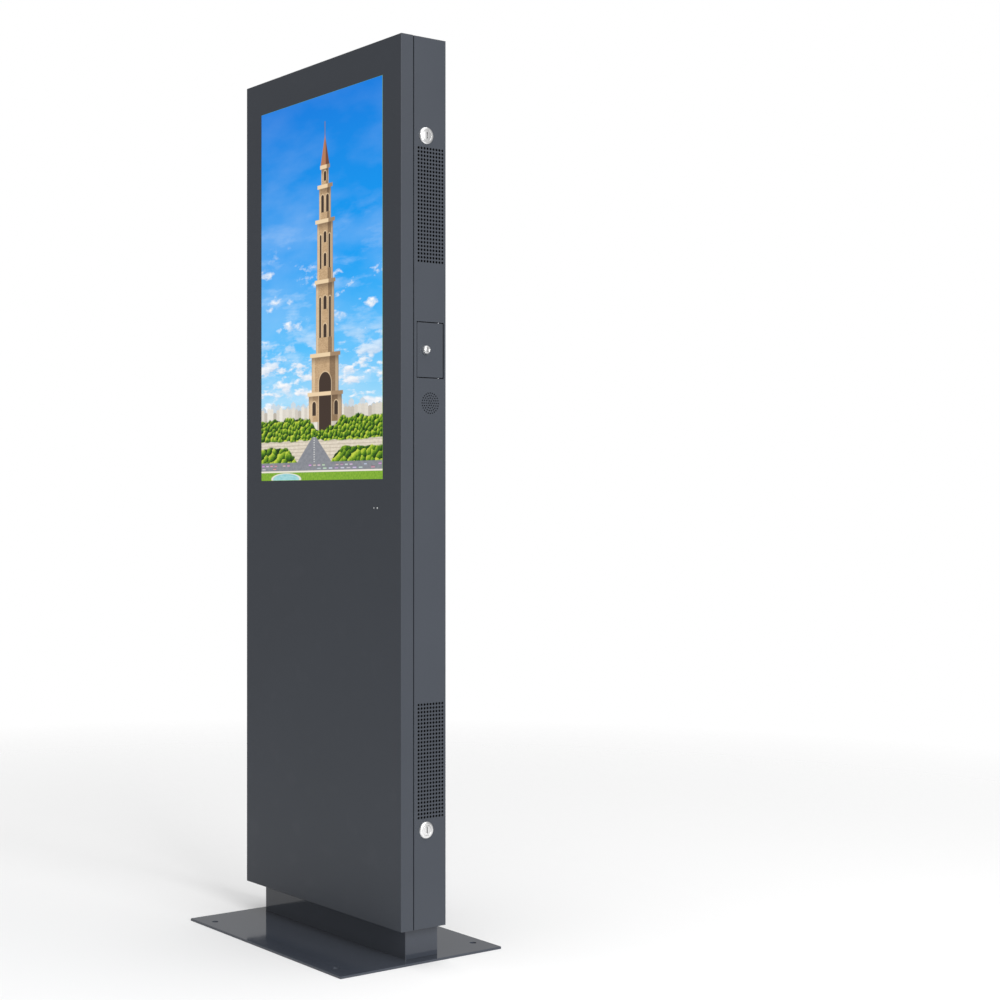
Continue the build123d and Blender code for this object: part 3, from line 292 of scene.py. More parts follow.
@dataclass(frozen=True)
class Metal:
    """Bare or plated metal, drawn in one direction."""

    name: str
    colour: Colour
    roughness: float
    grain: Colour = (1.0, 1.0, 1.0)
    streak: float = 0.0012
    spangle: float = 0.0
    spread: float = 0.1
    relief: float = 0.000008

    def material(self) -> bpy.types.Material:
        """Builds the finish."""
        shader = Shader(self.name)
        lines = shader.noise(self.streak, 4.0, shader.place(self.grain), 0.65)
        stain = shader.noise(0.03, 3.0)
        tone = lines * 0.6 + stain * 0.4
        if self.spangle:
            cells = {"Vector": shader.place(), "Scale": 1.0 / self.spangle}
            crystal = shader.node("ShaderNodeTexVoronoi", {}, cells, "Color")
            flake = shader.node("ShaderNodeSeparateColor", {}, {0: crystal})
            tone = tone * 0.5 + flake * 0.5
        return shader.paint(
            Base_Color=shader.mix(tone, tint(self.colour, 0.8), tint(self.colour, 1.12)),
            Metallic=1.0,
            Roughness=(tone - 0.5) * self.spread + self.roughness,
            Normal=shader.bump(lines, self.relief),
        )


@dataclass(frozen=True)
class Moulding:
    """Moulded plastic or rubber with a fine spark-eroded texture."""

    name: str
    colour: Colour
    roughness: float = 0.42
    texture: float = 0.0005
    depth: float = 0.00002
    coat: float = 0.0

    def material(self) -> bpy.types.Material:
        """Builds the finish."""
        shader = Shader(self.name)
        grain = shader.noise(self.texture, 3.0, rough=0.6)
        flow = shader.noise(0.025, 3.0)
        return shader.paint(
            Base_Color=shader.mix(flow * 0.7 + grain * 0.3, tint(self.colour, 0.8), tint(self.colour, 1.2)),
            Roughness=grain * 0.12 + (self.roughness - 0.06),
            Coat_Weight=self.coat,
            Normal=shader.bump(grain, self.depth),
        )


@dataclass(frozen=True)
class FilterFoam:
    """Open-cell foam: thin strands, with the pits between them painted dark as shade."""

    name: str
    colour: Colour
    cell: float = 0.0011

    def material(self) -> bpy.types.Material:
        """Builds the finish."""
        shader = Shader(self.name)
        inputs = {"Vector": shader.place(), "Scale": 1.0 / self.cell}
        pits = shader.node("ShaderNodeTexVoronoi", {"feature": "DISTANCE_TO_EDGE"}, inputs, "Distance")
        strand = pits.under(0.12, 0.12)
        return shader.paint(
            # Pits are painted near-black as shade, the strands lighter.
            Base_Color=shader.mix(strand, tint(self.colour, 0.12), tint(self.colour, 1.5)),
            Roughness=0.95,
            Specular_IOR_Level=0.05,
            Normal=shader.bump(strand, 0.0006),
        )


@dataclass(frozen=True)
class CircuitBoard:
    """Green solder mask over copper tracks, with dark chips standing proud of it."""

    name: str
    mask: Colour
    track: Colour = (0.014, 0.1, 0.04)
    chip: Colour = (0.012, 0.012, 0.014)
    face_y: float = -26.3 * MM

    def material(self) -> bpy.types.Material:
        """Builds the finish."""
        shader = Shader(self.name)
        inputs = {"Vector": shader.place(), "Scale": 260.0, "Randomness": 0.25}
        settings = {"distance": "CHEBYCHEV", "feature": "F1"}
        cells = shader.node("ShaderNodeTexVoronoi", settings, inputs, "Distance")
        edge = abs(cells - 0.32).under(0.05, 0.04)
        pads = cells.under(0.1, 0.03)
        laminate = shader.mix(edge, self.mask, self.track)
        plated = shader.mix(pads, laminate, (0.75, 0.62, 0.35))
        height = shader.node("ShaderNodeSeparateXYZ", {}, {0: shader.place()}, "Y")
        proud = height.over(self.face_y, 0.0002)
        return shader.paint(
            Base_Color=shader.mix(proud, plated, self.chip),
            Metallic=pads * (1 - proud),
            Roughness=shader.noise(0.0008) * 0.2 + 0.28,
            Normal=shader.bump(edge + pads, 0.00004),
        )


@dataclass(frozen=True)
class Glazing:
    """Polished edge of toughened glass."""

    name: str
    colour: Colour

    def material(self) -> bpy.types.Material:
        """Builds the finish."""
        shader = Shader(self.name)
        grind = shader.noise(0.0007, 3.0)
        return shader.paint(
            Base_Color=shader.mix(grind, tint(self.colour, 0.8), self.colour),
            Roughness=grind * 0.1 + 0.12,
            Coat_Weight=1.0,
            Coat_Roughness=0.03,
            Normal=shader.bump(grind, 0.00001),
        )


@dataclass(frozen=True)
class LitPicture:
    """A lit landscape under glass: sky, cloud, a plain stone bell tower, houses, trees and a forecourt.

    It is painted on the piece's own UV map. Lengths are in widths of the picture, from its lower left corner.
    """

    name: str
    aspect: float = 1.785
    horizon: float = 0.325
    tower_at: float = 0.55
    storeys: tuple[tuple[float, float, float], ...] = (
        (0.135, 0.27, 0.4), (0.11, 0.4, 0.58), (0.074, 0.58, 0.92),
        (0.064, 0.92, 1.2), (0.048, 1.2, 1.36), (0.03, 1.36, 1.45),
    )
    ledges: tuple[Point, ...] = (
        (0.145, 0.4), (0.124, 0.58), (0.084, 0.92), (0.08, 1.2), (0.062, 1.36), (0.04, 1.45),
    )
    arches: tuple[tuple[float, float, float, float], ...] = (
        (0.0, 0.05, 0.2, 0.45), (0.09, 0.015, 0.3, 0.35),
        (0.0, 0.013, 0.66, 0.71), (0.0, 0.013, 0.79, 0.84), (0.04, 0.008, 0.66, 0.84),
        (0.0, 0.011, 0.99, 1.04), (0.0, 0.011, 1.1, 1.14), (0.036, 0.007, 0.98, 1.13),
        (0.02, 0.011, 1.24, 1.31), (0.0, 0.01, 1.385, 1.42),
    )
    roof: tuple[float, float, float] = (0.038, 1.45, 1.6)
    mast: Point = (0.0028, 1.66)
    glow: float = 1.0

    def material(self) -> bpy.types.Material:
        """Builds the finish."""
        shader = Shader(self.name)
        uv = shader.node("ShaderNodeUVMap", {"uv_map": "screen"})
        at = shader.node("ShaderNodeMapping", {}, {"Vector": uv, "Scale": (1.0, self.aspect, 1.0)})
        x = shader.node("ShaderNodeSeparateXYZ", {}, {0: at})
        h = x.other("Y")
        picture = self.sky(shader, at, h)
        picture = self.skyline(shader, picture, x, h)
        picture = self.tower(shader, at, picture, x - self.tower_at, h)
        picture = self.garden(shader, at, picture, x, h)
        return shader.paint(
            Base_Color=(0.002, 0.002, 0.003),
            Roughness=0.3,
            Emission_Color=picture,
            Emission_Strength=self.glow,
            Specular_IOR_Level=0.06,
            Coat_Weight=0.1,
            Coat_Roughness=0.03,
        )

    def field(self, shader: Shader, at: Signal, scale: Colour, detail: float, shift: Colour = (0.0, 0.0, 0.0),
              turn: float = 0.0, rough: float = 0.55) -> Signal:
        """Noise over the picture, with as many features each way as the scale says."""
        inputs = {"Vector": at, "Scale": scale, "Location": shift, "Rotation": (0.0, 0.0, math.radians(turn))}
        vector = shader.node("ShaderNodeMapping", {}, inputs)
        inputs = {"Vector": vector, "Scale": 1.0, "Detail": detail, "Roughness": rough}
        return shader.node("ShaderNodeTexNoise", {}, inputs)

    def sky(self, shader: Shader, at: Signal, h: Signal) -> Signal:
        """Deep blue above, paler below, with thin veils, streaks and small heaped clouds."""
        stops = [(0.0, (0.36, 0.72, 0.96)), (0.2, (0.09, 0.52, 0.97))]
        stops += [(0.48, (0.0, 0.34, 0.9)), (1.0, (0.0, 0.2, 0.74))]
        reach = (h - self.horizon) / (self.aspect - self.horizon)
        base = shader.node("ShaderNodeValToRGB", {"stops": stops}, {0: reach})
        veil = self.field(shader, at, (1.3, 3.4, 1.0), 7.0, turn=28.0, rough=0.5).over(0.56, 0.3)
        streak = self.field(shader, at, (2.4, 9.0, 1.0), 8.0, (3.0, 1.0, 0.0), 12.0, 0.6).over(0.6, 0.18)
        haze = veil * reach.under(0.9, 0.5) * 0.2 + streak * reach.under(0.5, 0.4) * 0.42
        picture = shader.mix(haze, base, (0.78, 0.9, 1.0))
        tall = ((3.4, 7.2, 1.0), (2.0, 4.0, 0.0), 0.5, 0.6)
        flat = ((5.0, 15.0, 1.0), (7.0, 1.5, 0.0), 0.2, 0.535)
        for scale, shift, top, edge in (tall, flat):
            heap = self.field(shader, at, scale, 9.0, shift, rough=0.58)
            moved = (shift[0] - 0.09, shift[1] + 0.16, 0.0)
            relief = (heap - self.field(shader, at, scale, 9.0, moved, rough=0.58)) * 3.2 + 0.55
            lit = shader.mix(relief, (0.48, 0.62, 0.82), (1.0, 1.0, 1.0))
            picture = shader.mix(heap.over(edge, 0.08) * reach.under(top, 0.12), picture, lit)
        return picture

    def skyline(self, shader: Shader, under: Signal, x: Signal, h: Signal) -> Signal:
        """Two rows of pale houses behind the trees, the farther one hazy."""
        picture = under
        far = (23.0, 0.05, (0.46, 0.6, 0.72), (0.66, 0.75, 0.82))
        near = (37.0, 0.025, (0.52, 0.46, 0.38), (0.95, 0.9, 0.8))
        panes = (h * 160.0).math("FRACT").over(0.5, 0.2) * (x * 190.0).math("FRACT").over(0.5, 0.2) * 0.4
        for count, height, dark, pale in (far, near):
            cell = (x * count).math("FLOOR")
            chance = shader.node("ShaderNodeTexWhiteNoise", {"noise_dimensions": "1D"}, {"W": cell})
            pitch = abs((x * count).math("FRACT") - 0.5) * height * 0.5
            wall = shader.mix(panes, shader.mix(chance, dark, pale), (0.25, 0.3, 0.36))
            roof = chance * height - pitch + self.horizon + 0.004
            picture = shader.mix(h.under(roof, 0.003), picture, wall)
        return picture

    def tower(self, shader: Shader, at: Signal, under: Signal, off: Signal, h: Signal) -> Signal:
        """A plain square bell tower of warm stone in storeys, with arched openings and a pointed roof."""
        side = abs(off)
        bricks = {"Vector": shader.node("ShaderNodeMapping", {}, {"Vector": at, "Scale": (46.0, 60.0, 1.0)})}
        bricks |= {"Color1": (0.42, 0.27, 0.14), "Color2": (0.6, 0.41, 0.23)}
        bricks |= {"Mortar": (0.24, 0.15, 0.08), "Scale": 1.0}
        grain = self.field(shader, at, (30.0, 22.0, 1.0), 5.0)
        stone = shader.mix(grain * 0.5, shader.node("ShaderNodeTexBrick", {}, bricks), (0.85, 0.6, 0.36))
        shadow = shader.mix(0.62, stone, (0.1, 0.055, 0.03))
        picture = under
        top, peak = self.roof[1], self.roof[2]
        slope = (peak - h) * (self.roof[0] / (peak - top))
        tiles = shader.mix(off.over(0.006, 0.006), (0.46, 0.2, 0.1), (0.17, 0.065, 0.035))
        mast = side.under(self.mast[0], 0.003) * h.over(top, 0.002) * h.under(self.mast[1], 0.002)
        picture = shader.mix(mast, picture, (0.22, 0.16, 0.12))
        picture = shader.mix(side.under(slope, 0.004) * h.over(top, 0.002), picture, tiles)
        for half, low, high in self.storeys:
            face = shader.mix(off.over(half * 0.34, 0.003), stone, shadow)
            strips = abs(side - half * 0.86).under(half * 0.1, 0.003) * 0.35
            face = shader.mix(strips, face, (0.95, 0.75, 0.5))
            face = shader.mix(h.over(high - 0.03, 0.03) * 0.55, face, (0.09, 0.05, 0.03))
            wall = side.under(half, 0.004) * h.over(low, 0.002) * h.under(high, 0.002)
            picture = shader.mix(wall, picture, face)
        for centre, wide, low, spring in self.arches:
            rise = (h - spring).math("MAXIMUM", 0.0)
            across = side - centre
            reach = (across * across + rise * rise).math("SQRT")
            hole = reach.under(wide, 0.003) * h.over(low, 0.002)
            surround = reach.under(wide + 0.005, 0.003) * h.over(low, 0.002)
            picture = shader.mix(surround * 0.6, picture, (0.85, 0.66, 0.43))
            picture = shader.mix(hole, picture, (0.055, 0.035, 0.025))
        for half, height in self.ledges:
            ledge = side.under(half, 0.003) * abs(h - height).under(0.009, 0.003)
            pale = shader.mix(off.over(half * 0.34, 0.003), (0.86, 0.66, 0.42), (0.36, 0.24, 0.14))
            picture = shader.mix(ledge, picture, pale)
        return picture

    def trees(
        self, shader: Shader, at: Signal, under: Signal, line: Signal, h: Signal, size: float
    ) -> Signal:
        """A row of rounded crowns up to a line, each lit from above."""
        waver = self.field(shader, at, (60.0, 60.0, 1.0), 3.0)
        inputs = {0: waver.other("Color"), 1: (size * 0.5,) * 3, 2: at}
        shaken = shader.node("ShaderNodeVectorMath", {"operation": "MULTIPLY_ADD"}, inputs)
        inputs = {"Vector": shaken, "Scale": 1.0 / size}
        cells = shader.node("ShaderNodeTexVoronoi", {"voronoi_dimensions": "2D"}, inputs, "Position")
        local = shader.node("ShaderNodeVectorMath", {"operation": "SUBTRACT"}, {0: shaken, 1: cells})
        inputs = {0: local, 1: (-0.55, 0.85, 0.0)}
        light = shader.node("ShaderNodeVectorMath", {"operation": "DOT_PRODUCT"}, inputs, "Value")
        leaf = self.field(shader, at, (150.0, 130.0, 1.0), 4.0, rough=0.7)
        chance = shader.node("ShaderNodeSeparateColor", {}, {0: cells.other("Color")})
        tone = light * (0.62 / size) + leaf * 0.5 + chance * 0.18 + 0.14
        stops = [(0.12, (0.006, 0.03, 0.004)), (0.38, (0.035, 0.12, 0.006)), (0.58, (0.16, 0.32, 0.012)),
                 (0.85, (0.55, 0.66, 0.06))]
        green = shader.node("ShaderNodeValToRGB", {"stops": stops}, {0: tone})
        return shader.mix(h.under(line, 0.006), under, green)

    def garden(self, shader: Shader, at: Signal, under: Signal, x: Signal, h: Signal) -> Signal:
        """Trees in rows, pale terraces, a road that narrows away, cars, a lawn and a pool in front."""
        rough = self.field(shader, at, (14.0, 14.0, 1.0), 4.0)
        gap = abs(x - self.tower_at).under(0.1, 0.06)
        picture = self.trees(shader, at, under, rough * 0.07 + 0.255 - gap * 0.05, h, 0.022)
        mottle = self.field(shader, at, (50.0, 70.0, 1.0), 5.0)
        court = shader.mix(mottle, (0.5, 0.42, 0.32), (0.98, 0.9, 0.76))
        steps = (h * 62.0).math("FRACT").under(0.28, 0.15) * 0.4
        terrace = shader.mix(steps, court, (0.34, 0.28, 0.22))
        picture = shader.mix(h.under(rough * 0.03 + 0.17, 0.005), picture, terrace)
        lane = (0.2 - h) * 1.1 + 0.016
        road = abs(x - 0.46).under(lane, 0.008) * h.under(0.2, 0.003)
        asphalt = shader.mix(mottle, (0.16, 0.17, 0.2), (0.34, 0.35, 0.38))
        dash = (h * 90.0).math("FRACT").over(0.5, 0.2) * abs(x - 0.46).under(0.004, 0.003)
        picture = shader.mix(road, picture, shader.mix(dash * 0.7, asphalt, (0.9, 0.9, 0.86)))
        near = rough * 0.06 + 0.125 - abs(x - 0.46).under(0.16, 0.14) * 0.11
        picture = self.trees(shader, at, picture, near, h, 0.035)
        street = abs(h - 0.064).under(0.02, 0.004)
        picture = shader.mix(street, picture, asphalt)
        for height, count, seed in ((0.056, 21.0, 3.0), (0.071, 27.0, 8.0)):
            lot = x * count + seed
            inputs = {"W": lot.math("FLOOR") + seed * 0.37}
            chance = shader.node("ShaderNodeTexWhiteNoise", {"noise_dimensions": "1D"}, inputs)
            body = abs(lot.math("FRACT") - 0.5).under(0.3, 0.06) * abs(h - height).under(0.0045, 0.003)
            paint = shader.mix(0.55, chance.other("Color"), (0.5, 0.52, 0.56))
            car = shader.mix(h.over(height + 0.001, 0.001) * 0.6, paint, (0.03, 0.04, 0.06))
            picture = shader.mix(body * chance.over(0.42, 0.02), picture, car)
        kerb = abs(h - 0.041).under(0.004, 0.002)
        picture = shader.mix(kerb, picture, (0.85, 0.8, 0.7))
        blade = self.field(shader, at, (120.0, 90.0, 1.0), 4.0)
        lawn = shader.mix(blade, (0.05, 0.2, 0.008), (0.38, 0.62, 0.06))
        picture = shader.mix(h.under(0.037, 0.003), picture, lawn)
        inside = (x - 0.22) * (x - 0.22) * 0.05 + (h - 0.006) * (h - 0.006)
        ripple = self.field(shader, at, (26.0, 140.0, 1.0), 3.0)
        picture = shader.mix(inside.under(0.00085, 0.00012), picture, (0.8, 0.78, 0.7))
        water = shader.mix(ripple, (0.1, 0.45, 0.5), (0.6, 0.86, 0.86))
        return shader.mix(inside.under(0.00065, 0.00008), picture, water)


class Finish(Enum):
    """Every finish on the kiosk, with the record's slot that it belongs to."""

    CABINET = ("cabinet_paint", PowderCoat("cabinet_powder_coat", (0.048, 0.0545, 0.067)))
    # Near-black painted shade for the hole walls and back of the side sheets, standing in for the dark inside
    # of the vents.
    HOLE_SHADE = ("cabinet_paint", PowderCoat("painted_hole_shade_coat", (0.004, 0.0045, 0.0055), 0.7, 0.08))
    DOOR = ("door_paint", PowderCoat("door_powder_coat", (0.048, 0.0545, 0.067)))
    STAND = ("stand_gloss", GlossCoat("stand_enamel", (0.046, 0.053, 0.068)))
    ZINC = ("zinc_steel", Metal("zinc_plate", (0.6, 0.61, 0.63), 0.34, spangle=0.007))
    HINGE = ("hinge_steel", Metal("rolled_steel", (0.24, 0.245, 0.255), 0.4, (1.0, 1.0, 0.04)))
    # Near-black painted shade for the walls and floor of the key slot.
    KEYWAY_SHADE = ("chrome", Metal("keyway_painted_shade", (0.03, 0.03, 0.032), 0.6))
    CHROME = ("chrome", Metal("bright_chrome", (0.86, 0.86, 0.86), 0.33,
                              streak=0.002, spread=0.05, relief=0.000001))
    PICTURE = ("touch_glass", LitPicture("lit_picture"))
    GLASS_EDGE = ("touch_glass", Glazing("glass_edge", (0.02, 0.06, 0.05)))
    PANEL_BACK = ("screen", Metal("panel_back", (0.4, 0.41, 0.42), 0.42, (0.05, 1.0, 1.0)))
    ANODISED = ("anodised_frame", Metal("grey_anodised", (0.25, 0.26, 0.28), 0.38, (1.0, 1.0, 0.06)))
    BLACK = ("black_plastic", Moulding("black_moulding", (0.02, 0.02, 0.022)))
    SHEATH = ("black_plastic", Moulding("cable_sheath", (0.012, 0.012, 0.013), 0.5))
    LIVE = ("black_plastic", Moulding("brown_core", (0.09, 0.035, 0.015), 0.4))
    NEUTRAL = ("black_plastic", Moulding("blue_core", (0.01, 0.07, 0.32), 0.4))
    EARTH = ("black_plastic", Moulding("green_core", (0.1, 0.3, 0.02), 0.4))
    GREY = ("grey_plastic", Moulding("grey_moulding", (0.5, 0.51, 0.51), 0.4))
    SWITCH = ("switch_plastic", Moulding("red_switch", (0.45, 0.012, 0.01), 0.25, depth=0.000005, coat=0.5))
    BOARD = ("circuit_board", CircuitBoard("solder_mask", (0.005, 0.045, 0.018)))
    SEAL = ("seal_rubber", Moulding("foam_rubber", (0.012, 0.012, 0.013), 0.8, 0.0009, 0.00012))
    # The foam's near-black colour is partly its own and partly painted shade for the vent holes in front of
    # it.
    FILTER = ("filter_mat", FilterFoam("filter_foam", (0.006, 0.006, 0.0065)))
    PAPER = ("cone_paper", Moulding("pressed_paper", (0.03, 0.03, 0.03), 0.85, 0.0012, 0.0001))
    LENS = ("lens_white", Moulding("frosted_lens", (0.8, 0.82, 0.82), 0.25, depth=0.000005, coat=0.6))

    @property
    def slot(self) -> str:
        """The record's material slot."""
        return self.value[0]

    @property
    def material(self) -> bpy.types.Material:
        """The material, built once."""
        name = self.value[1].name
        return bpy.data.materials.get(name) or self.value[1].material()


# ---------------------------------------------------------------- meshes


def smooth(mesh: bpy.types.Mesh, angle: float = 35.0) -> bpy.types.Mesh:
    """Shades a mesh smooth except over edges sharper than the angle, in degrees.

    Returns:
        The mesh.
    """
    bm = bmesh.new()
    bm.from_mesh(mesh)
    for face in bm.faces:
        face.smooth = True
    for edge in bm.edges:
        edge.smooth = len(edge.link_faces) == 2 and edge.calc_face_angle(0.0) < math.radians(angle)
    bm.to_mesh(mesh)
    bm.free()
    return mesh


def to_mesh(bm: bmesh.types.BMesh, name: str, matrix: Matrix | None = None) -> bpy.types.Mesh:
    """Turns a bmesh into a mesh, moved by a matrix, with merged points and outward faces."""
    bmesh.ops.remove_doubles(bm, verts=bm.verts, dist=1e-6)
    if matrix is not None:
        bmesh.ops.transform(bm, matrix=matrix, verts=bm.verts)
    bmesh.ops.recalc_face_normals(bm, faces=bm.faces)
    mesh = bpy.data.meshes.new(name)
    bm.to_mesh(mesh)
    bm.free()
    return mesh


def bake(obj: bpy.types.Object, name: str) -> bpy.types.Mesh:
    """The evaluated mesh of an object that is then removed."""
    bpy.context.view_layer.update()
    evaluated = obj.evaluated_get(bpy.context.evaluated_depsgraph_get())
    mesh = bpy.data.meshes.new_from_object(evaluated)
    mesh.name = name
    bpy.data.objects.remove(obj)
    return mesh


def scene_object(name: str, mesh: bpy.types.Mesh) -> bpy.types.Object:
    """Links a new object to the scene."""
    obj = bpy.data.objects.new(name, mesh)
    bpy.context.scene.collection.objects.link(obj)
    return obj


def install(
    name: str,
    mesh: bpy.types.Mesh,
    body: Body,
    finishes: Sequence[Finish],
    replaced: Sequence[str] = (),
) -> bpy.types.Object:
    """Puts a finished mesh on its body.

    Args:
        name: the piece's name.
        mesh: its mesh, already in place.
        body: the body that it rides on.
        finishes: one finish for each material number of its faces.
        replaced: CAD nodes that it stands for.

    Returns:
        The piece.
    """
    mesh.materials.clear()
    for finish in finishes:
        mesh.materials.append(finish.material)
    piece = scene_object(name, mesh)
    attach(piece, body.value)
    if replaced:
        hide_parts(*replaced)
    LOG.info("%s: %d faces on %s", name, len(mesh.polygons), body.value)
    return piece


def softened(node: str, radius: float, segments: int = 2) -> bpy.types.Mesh:
    """A merged copy of a CAD node's mesh with its sharp edges rounded.

    Args:
        node: the CAD node.
        radius: radius of the edges, in metres.
        segments: faces across each rounded edge.

    Returns:
        The new mesh.
    """
    bm = bmesh.new()
    bm.from_mesh(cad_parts[node].data)
    bmesh.ops.remove_doubles(bm, verts=bm.verts, dist=2e-6)
    bmesh.ops.dissolve_limit(bm, angle_limit=math.radians(0.4), verts=bm.verts, edges=bm.edges)
    return rounded(to_plain(bm, node + "_soft"), node + "_mesh", radius, segments)


def to_plain(bm: bmesh.types.BMesh, name: str) -> bpy.types.Mesh:
    """Turns a bmesh into a mesh as it is."""
    mesh = bpy.data.meshes.new(name)
    bm.to_mesh(mesh)
    bm.free()
    return mesh


def rounded(mesh: bpy.types.Mesh, name: str, radius: float, segments: int = 2) -> bpy.types.Mesh:
    """Rounds a mesh's sharp edges, with normals that keep its flat faces flat.

    Args:
        mesh: the mesh that is rounded.
        name: the result's name.
        radius: radius of the edges, in metres.
        segments: faces across each rounded edge.

    Returns:
        The new mesh.
    """
    for polygon in mesh.polygons:
        polygon.use_smooth = True
    obj = scene_object(name + "_source", mesh)
    bevel = obj.modifiers.new("edges", "BEVEL")
    bevel.width, bevel.segments = radius, segments
    bevel.limit_method, bevel.angle_limit = "ANGLE", math.radians(40)
    bevel.harden_normals = True
    obj.modifiers.new("flat_faces", "WEIGHTED_NORMAL").keep_sharp = True
    return bake(obj, name)


def span(node: str) -> tuple[Vector, Vector]:
    """Lowest and highest corners of a CAD node."""
    low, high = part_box(node)
    return Vector(low), Vector(high)


def ring(bm: bmesh.types.BMesh, points: Iterable[Sequence[float]]) -> list[bmesh.types.BMVert]:
    """Adds a closed ring of points."""
    return [bm.verts.new(point) for point in points]


def loft(
    bm: bmesh.types.BMesh, levels: Iterable[tuple[Iterable[Point], float]]
) -> list[list[bmesh.types.BMVert]]:
    """Joins outlines at their heights into a wall.

    Args:
        bm: where the faces are added.
        levels: outlines of as many points each, with their heights.

    Returns:
        The rings, in order.
    """
    rings = [ring(bm, [(x, y, height) for x, y in points]) for points, height in levels]
    for low, high in zip(rings, rings[1:]):
        bridge(bm, low, high)
    return rings


def bridge(bm: bmesh.types.BMesh, low: list, high: list) -> None:
    """Joins two rings of as many points with quads."""
    count = len(low)
    for i in range(count):
        j = (i + 1) % count
        bm.faces.new((low[i], low[j], high[j], high[i]))


def cap(bm: bmesh.types.BMesh, rings: Sequence[list]) -> None:
    """Fills a flat face bounded by an outer ring and any inner rings."""
    edges = []
    for loop in rings:
        for i, vert in enumerate(loop):
            other = loop[(i + 1) % len(loop)]
            edges.append(bm.edges.get((vert, other)) or bm.edges.new((vert, other)))
    bmesh.ops.triangle_fill(bm, edges=edges, use_beauty=True)


def circle(radius: float, count: int = 48, centre: Point = (0.0, 0.0)) -> list[Point]:
    """Points round a circle."""
    turns = [2 * math.pi / count * i for i in range(count)]
    return [(centre[0] + radius * math.cos(turn), centre[1] + radius * math.sin(turn)) for turn in turns]


def rectangle(x0: float, x1: float, y0: float, y1: float) -> list[Point]:
    """Corners of a rectangle, in order round it."""
    return [(x0, y0), (x1, y0), (x1, y1), (x0, y1)]


def stadium(length: float, width: float, count: int = 8) -> list[Point]:
    """Points round a slot with round ends, long in the second direction."""
    radius, half = width / 2, (length - width) / 2
    points = []
    for start, shift in ((0.0, half), (math.pi, -half)):
        for i in range(count + 1):
            angle = start + math.pi * i / count
            points.append((radius * math.cos(angle), shift + radius * math.sin(angle)))
    return points


def lathe(
    bm: bmesh.types.BMesh,
    profile: Sequence[Point],
    count: int = 64,
    shape: Callable[[float], float] | None = None,
    closed: bool = True,
) -> None:
    """Turns a profile of (height, radius) points about Z.

    Args:
        bm: where the faces are added.
        profile: the points, in order; radius 0 at an end closes it with a pole.
        count: steps round the axis.
        shape: factor on the radius by angle, for hexagons and the like.
        closed: whether the last point joins the first.
    """
    rings = []
    for height, radius in profile:
        if radius == 0.0:
            rings.append([bm.verts.new((0.0, 0.0, height))] * count)
            continue
        points = []
        for i in range(count):
            angle = 2 * math.pi * i / count
            reach = radius * (shape(angle) if shape else 1.0)
            points.append((reach * math.cos(angle), reach * math.sin(angle), height))
        rings.append(ring(bm, points))
    pairs = list(zip(rings, rings[1:])) + ([(rings[-1], rings[0])] if closed else [])
    for low, high in pairs:
        for i in range(count):
            j = (i + 1) % count
            corners = list(dict.fromkeys((low[i], low[j], high[j], high[i])))
            if len(corners) > 2:
                bm.faces.new(corners)


def hexagon(angle: float) -> float:
    """Radius of a hexagon by angle, 1 across its corners."""
    sector = math.radians(60)
    return math.cos(sector / 2) / math.cos((angle % sector) - sector / 2)


def outward(side: Side, x: float, y: float, z: float) -> Matrix:
    """Takes local (Y, Z, out) to a place on a side wall, with local +Z pointing out."""
    return Matrix(((0, 0, side.value, x), (1, 0, 0, y), (0, 1, 0, z), (0, 0, 0, 1)))


# ---------------------------------------------------------------- repeated pieces


class GeometryTree(Graph):
    """A geometry node tree with named inputs and one geometry output."""

    def __init__(self, name: str, inputs: Sequence[tuple[str, str, Any]]) -> None:
        """Makes the tree's interface.

        Args:
            name: the tree's name.
            inputs: name, socket type and default of each input.
        """
        tree = bpy.data.node_groups.new(name, "GeometryNodeTree")
        super().__init__(tree)
        self.idents: dict[str, str] = {}
        tree.interface.new_socket("Geometry", in_out="INPUT", socket_type="NodeSocketGeometry")
        for label, kind, default in inputs:
            socket = tree.interface.new_socket(label, in_out="INPUT", socket_type=kind)
            if default is not None:
                socket.default_value = default
            self.idents[label] = socket.identifier
        tree.interface.new_socket("Geometry", in_out="OUTPUT", socket_type="NodeSocketGeometry")
        self.source = tree.nodes.new("NodeGroupInput")
        self.target = tree.nodes.new("NodeGroupOutput")

    def given(self, label: str) -> Signal:
        """One of the tree's inputs."""
        return Signal(self, self.source.outputs[label])

    def result(self, geometry: Signal) -> None:
        """Realizes the instances, sets the material and ends the tree."""
        real = self.node("GeometryNodeRealizeInstances", {}, {0: geometry})
        inputs = {"Geometry": real, "Material": self.given("Material")}
        dressed = self.node("GeometryNodeSetMaterial", {}, inputs)
        self.tree.links.new(dressed.socket, self.target.inputs[0])

    def run(self, base: bpy.types.Mesh, name: str, values: dict[str, Any]) -> bpy.types.Mesh:
        """Runs the tree on a mesh.

        Args:
            base: the mesh that the tree starts from.
            name: the result's name.
            values: the inputs by their names.

        Returns:
            The plain mesh that comes out.
        """
        obj = scene_object(name + "_source", base)
        modifier = obj.modifiers.new("nodes", "NODES")
        modifier.node_group = self.tree
        for label, value in values.items():
            modifier[self.idents[label]] = value
        return bake(obj, name)


